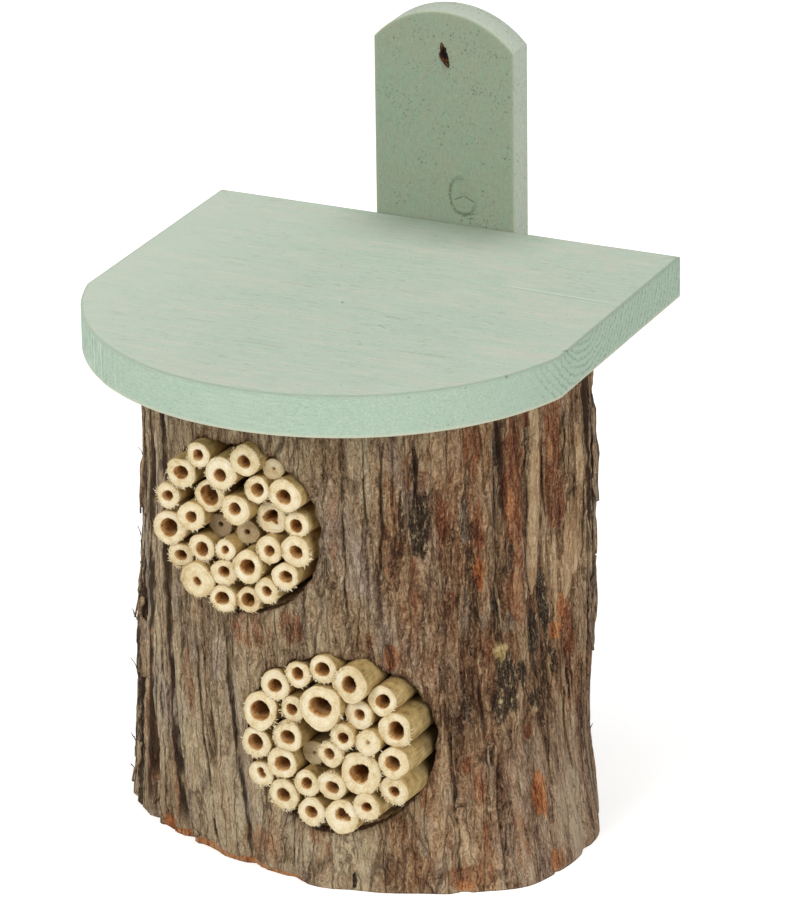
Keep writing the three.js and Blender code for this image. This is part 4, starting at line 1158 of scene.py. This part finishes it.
def boardPiece(name, nodeName, loops, material):
    points = np.concatenate([loop["points"] for loop in loops])
    count = len(loops[0]["points"])
    values = {key: np.repeat([float(loop.get(key, 0)) for loop in loops], count)
              for key in ("edgeFace", "arrisTop", "arrisUnder", "rawWood")}
    piece = makePiece(name, points * mm, loftFaces(len(loops), count), [material], None, values)
    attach(piece, "root")
    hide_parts(nodeName)


def makeRoof():
    half = roofShape["width"] / 2
    radius = arcRadius(roofShape["width"], roofShape["depth"] - roofShape["sideLength"])
    back, front = roofShape["back"], roofShape["back"] - roofShape["depth"]
    shoulder = back - roofShape["sideLength"]
    centre = (0, front + radius)
    meet = math.atan2(shoulder - centre[1], half)
    step = roofShape["pointStep"]
    outline = runPoints([(half, back), (-half, back), (-half, shoulder)], step)
    outline += arcPoints(centre, radius, -math.pi - meet, meet, step)
    outline += runPoints([(half, shoulder), (half, back)], step)
    outline = np.array(outline)
    uneven = 0.12 * layeredNoise(np.arange(len(outline)) / 14, np.zeros(len(outline)), 211)
    outline = inwards(outline, uneven + 0.05)
    under, over, arris = roofShape["under"], roofShape["over"], roofShape["arris"]
    middle = np.array([0, (back + front) / 2])
    shrink = [0.004, 0.2, 0.4, 0.6, 0.8, 0.92, 0.97]
    loops = []

    def addLoop(flat, z, **marks):
        loops.append({"points": np.column_stack([flat, np.full(len(outline), z)]), **marks})

    rim = inwards(outline, arris)
    for share in shrink:
        addLoop(middle + (rim - middle) * share, under)
    addLoop(rim, under, arrisUnder=0.3)
    addLoop(inwards(outline, 0.25 * arris), under + 0.25 * arris, edgeFace=1, arrisUnder=1)
    addLoop(outline, under + arris, edgeFace=1, arrisUnder=0.6)
    for share in (0.1, 0.3, 0.5, 0.7, 0.9):
        addLoop(outline, under + (over - under) * share, edgeFace=1)
    addLoop(outline, over - arris, edgeFace=1, arrisTop=0.3)
    addLoop(inwards(outline, 0.25 * arris), over - 0.25 * arris, edgeFace=1, arrisTop=1)
    addLoop(rim, over, edgeFace=0, arrisTop=0.7)
    addLoop(inwards(outline, 2 * arris), over)
    for share in reversed(shrink[:-1]):
        addLoop(middle + (rim - middle) * share, over)
    material = paintedWood("wornSagePaintOnSoftwood", roofPaint, roofStrokes, roofMarksAndShade)
    boardPiece("roof_board_painted", "roof_board", loops, material)


def makeHangingBoard():
    half = boardShape["width"] / 2
    radius = arcRadius(boardShape["width"], boardShape["archRise"])
    meet = math.atan2(radius - boardShape["archRise"], half)
    step = boardShape["pointStep"]
    shoulder = boardShape["crown"] - boardShape["archRise"]
    outline = runPoints([(-half, shoulder), (-half, boardShape["foot"]), (half, boardShape["foot"]),
                         (half, shoulder)], step)
    outline += arcPoints((0, boardShape["crown"] - radius), radius, meet, math.pi - meet, step)
    outline = np.array(outline) + np.array([boardShape["middle"], 0])
    hole = np.array([boardShape["middle"], boardShape["holeHeight"]])
    aim = np.arctan2(outline[:, 1] - hole[1], outline[:, 0] - hole[0])
    towards = np.stack([np.cos(aim), np.sin(aim)], -1)
    torn = 1.75 + 0.2 * ringNoise(aim, 3, 231) + 0.12 * ringNoise(aim, 9, 233)
    for tip, reach, spread in ((98, 3.2, 0.3), (-66, 3.0, 0.42), (70, 0.9, 0.15)):
        aside = turnedFrom(aim, math.radians(tip), 2 * math.pi)
        torn = torn + reach * np.exp(-np.abs(aside / spread) ** 1.5)
    frontHole = hole + torn[:, None] * towards
    backHole = hole + 2.4 * towards
    arris, front = boardShape["arris"], boardShape["front"]
    back = front + boardShape["thickness"]
    shares = [0.02, 0.05, 0.1, 0.2, 0.35, 0.5, 0.7, 0.85, 0.95]
    loops = []

    def addLoop(flat, y, **marks):
        loops.append({"points": np.column_stack([flat[:, 0], np.full(len(flat), y), flat[:, 1]]), **marks})

    rim = inwards(outline, arris)
    addLoop(backHole, back, rawWood=1)
    for share in shares:
        addLoop(backHole + (rim - backHole) * share, back)
    addLoop(rim, back, arrisUnder=0.5)
    addLoop(inwards(outline, 0.25 * arris), back - 0.25 * arris, edgeFace=1, arrisUnder=0.6)
    for y in (back - arris, (back + front) / 2, front + arris):
        addLoop(outline, y, edgeFace=1)
    addLoop(inwards(outline, 0.25 * arris), front + 0.25 * arris, edgeFace=0.6, arrisTop=1)
    addLoop(rim, front, arrisTop=0.4)
    for share in reversed(shares):
        addLoop(frontHole + (rim - frontHole) * share, front)
    addLoop(frontHole, front, rawWood=0.4)
    addLoop(frontHole * 0.97 + hole * 0.03, front + 0.15, rawWood=1)
    addLoop(frontHole * 0.6 + hole * 0.4, front + 1.4, rawWood=1)
    addLoop(backHole * 0.8 + hole * 0.2, front + 4, rawWood=1)
    addLoop(backHole, back, rawWood=1)
    material = paintedWood("greyGreenPaintOnSoftwood", boardPaint, boardStrokes, boardMarksAndShade)
    boardPiece("hanging_board_painted", "hanging_board", loops, material)


makeRoof()
makeHangingBoard()
print("boards: roof and hanging board")


# Screws: zinc-plated steel, cold and slightly dull

def makeZincMaterial():
    material, tree, shader, inMm = newMaterial("zincPlatedSteel")
    grain = addNode(tree, "TexNoise", {"Vector": inMm, "Scale": 2.0, "Detail": 3.0})
    colour = addNode(tree, "ValToRGB", {"Fac": grain}, stops=[(0.35, "#A9ACAE"), (0.65, "#C9CCCE")])
    tree.links.new(colour.outputs["Color"], shader.inputs["Base Color"])
    shader.inputs["Metallic"].default_value = 1.0
    shader.inputs["Roughness"].default_value = 0.5
    return material


zinc = makeZincMaterial()
for name in ("board_screw_roof", "board_screw_log"):
    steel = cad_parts[name]
    steel.data.materials.clear()
    steel.data.materials.append(zinc)


# Camera, floor and light

view = {"lens": 251.7, "turn": 25.18, "rise": 22.15, "roll": 0.768, "place": (862.0, -1796.9, 944.9)}


def makeCamera():
    turn, rise, roll = (math.radians(view[k]) for k in ("turn", "rise", "roll"))
    back = Vector((math.sin(turn) * math.cos(rise), -math.cos(turn) * math.cos(rise), math.sin(rise)))
    right = Vector((math.cos(turn), math.sin(turn), 0))
    up = back.cross(right)
    across = math.cos(roll) * right - math.sin(roll) * up
    upright = math.sin(roll) * right + math.cos(roll) * up
    camera = bpy.data.cameras.new("camera")
    camera.lens = view["lens"]
    camera.sensor_fit = "VERTICAL"
    camera.sensor_height = 36
    camera.clip_end = 20
    holder = bpy.data.objects.new("camera", camera)
    holder.matrix_world = Matrix.Translation(Vector(view["place"]) * mm) @ Matrix(
        (across, upright, back)).transposed().to_4x4()
    bpy.context.scene.collection.objects.link(holder)
    bpy.context.scene.camera = holder


def seenDirectly(tree):
    rays = addNode(tree, "LightPath")
    either = addNode(tree, "Math", {0: rays.outputs["Is Camera Ray"], 1: rays.outputs["Is Glossy Ray"]},
                     operation="MAXIMUM")
    return addNode(tree, "Math", {0: either, 1: rays.outputs["Is Transmission Ray"]}, operation="MAXIMUM")


def makeFloor():
    size = 3.0
    mesh = bpy.data.meshes.new("studio_floor")
    corners = [(-size, -size, 0), (size, -size, 0), (size, size, 0), (-size, size, 0)]
    mesh.from_pydata(corners, [], [(0, 1, 2, 3)])
    floor = bpy.data.objects.new("studio_floor", mesh)
    bpy.context.scene.collection.objects.link(floor)
    material = bpy.data.materials.new("palePaperFloor")
    material.use_nodes = True
    tree = material.node_tree
    tree.nodes.clear()
    paper = addNode(tree, "BsdfDiffuse", {"Color": fromHex("#E8E8E6")})
    glow = addNode(tree, "Emission", {"Color": (1, 1, 1, 1), "Strength": 0.52})
    both = addNode(tree, "AddShader", {0: paper, 1: glow})
    shown = addNode(tree, "MixShader", {0: seenDirectly(tree), 1: paper, 2: both})
    addNode(tree, "OutputMaterial", {"Surface": shown})
    mesh.materials.append(material)


def makeLamp(name, place, size, power):
    light = bpy.data.lights.new(name, "AREA")
    light.shape = "SQUARE"
    light.size = size
    light.energy = power
    holder = bpy.data.objects.new(name, light)
    holder.location = place
    aim = Vector((0, 0, 0.13)) - Vector(place)
    holder.rotation_euler = aim.to_track_quat("-Z", "Y").to_euler()
    bpy.context.scene.collection.objects.link(holder)


def makeLight():
    makeLamp("key_lamp", (-0.7, -2.2, 1.7), 1.3, 35)
    makeLamp("left_lamp", (-2.2, -0.7, 1.1), 1.6, 10)
    makeLamp("fill_lamp", (2.2, -0.9, 1.2), 1.6, 26)
    makeLamp("top_lamp", (0.2, 0.2, 2.6), 2.0, 18)
    world = bpy.data.worlds.new("studio")
    bpy.context.scene.world = world
    world.use_nodes = True
    tree = world.node_tree
    tree.nodes.clear()
    soft = addNode(tree, "Background", {"Color": (1, 1, 1, 1), "Strength": 0.3})
    white = addNode(tree, "Background", {"Color": (1, 1, 1, 1), "Strength": 1.0})
    addNode(tree, "OutputWorld", {"Surface": addNode(
        tree, "MixShader", {0: seenDirectly(tree), 1: soft, 2: white})})


makeCamera()
makeFloor()
makeLight()
bpy.context.scene.view_settings.view_transform = "Standard"
print("camera, floor and light")
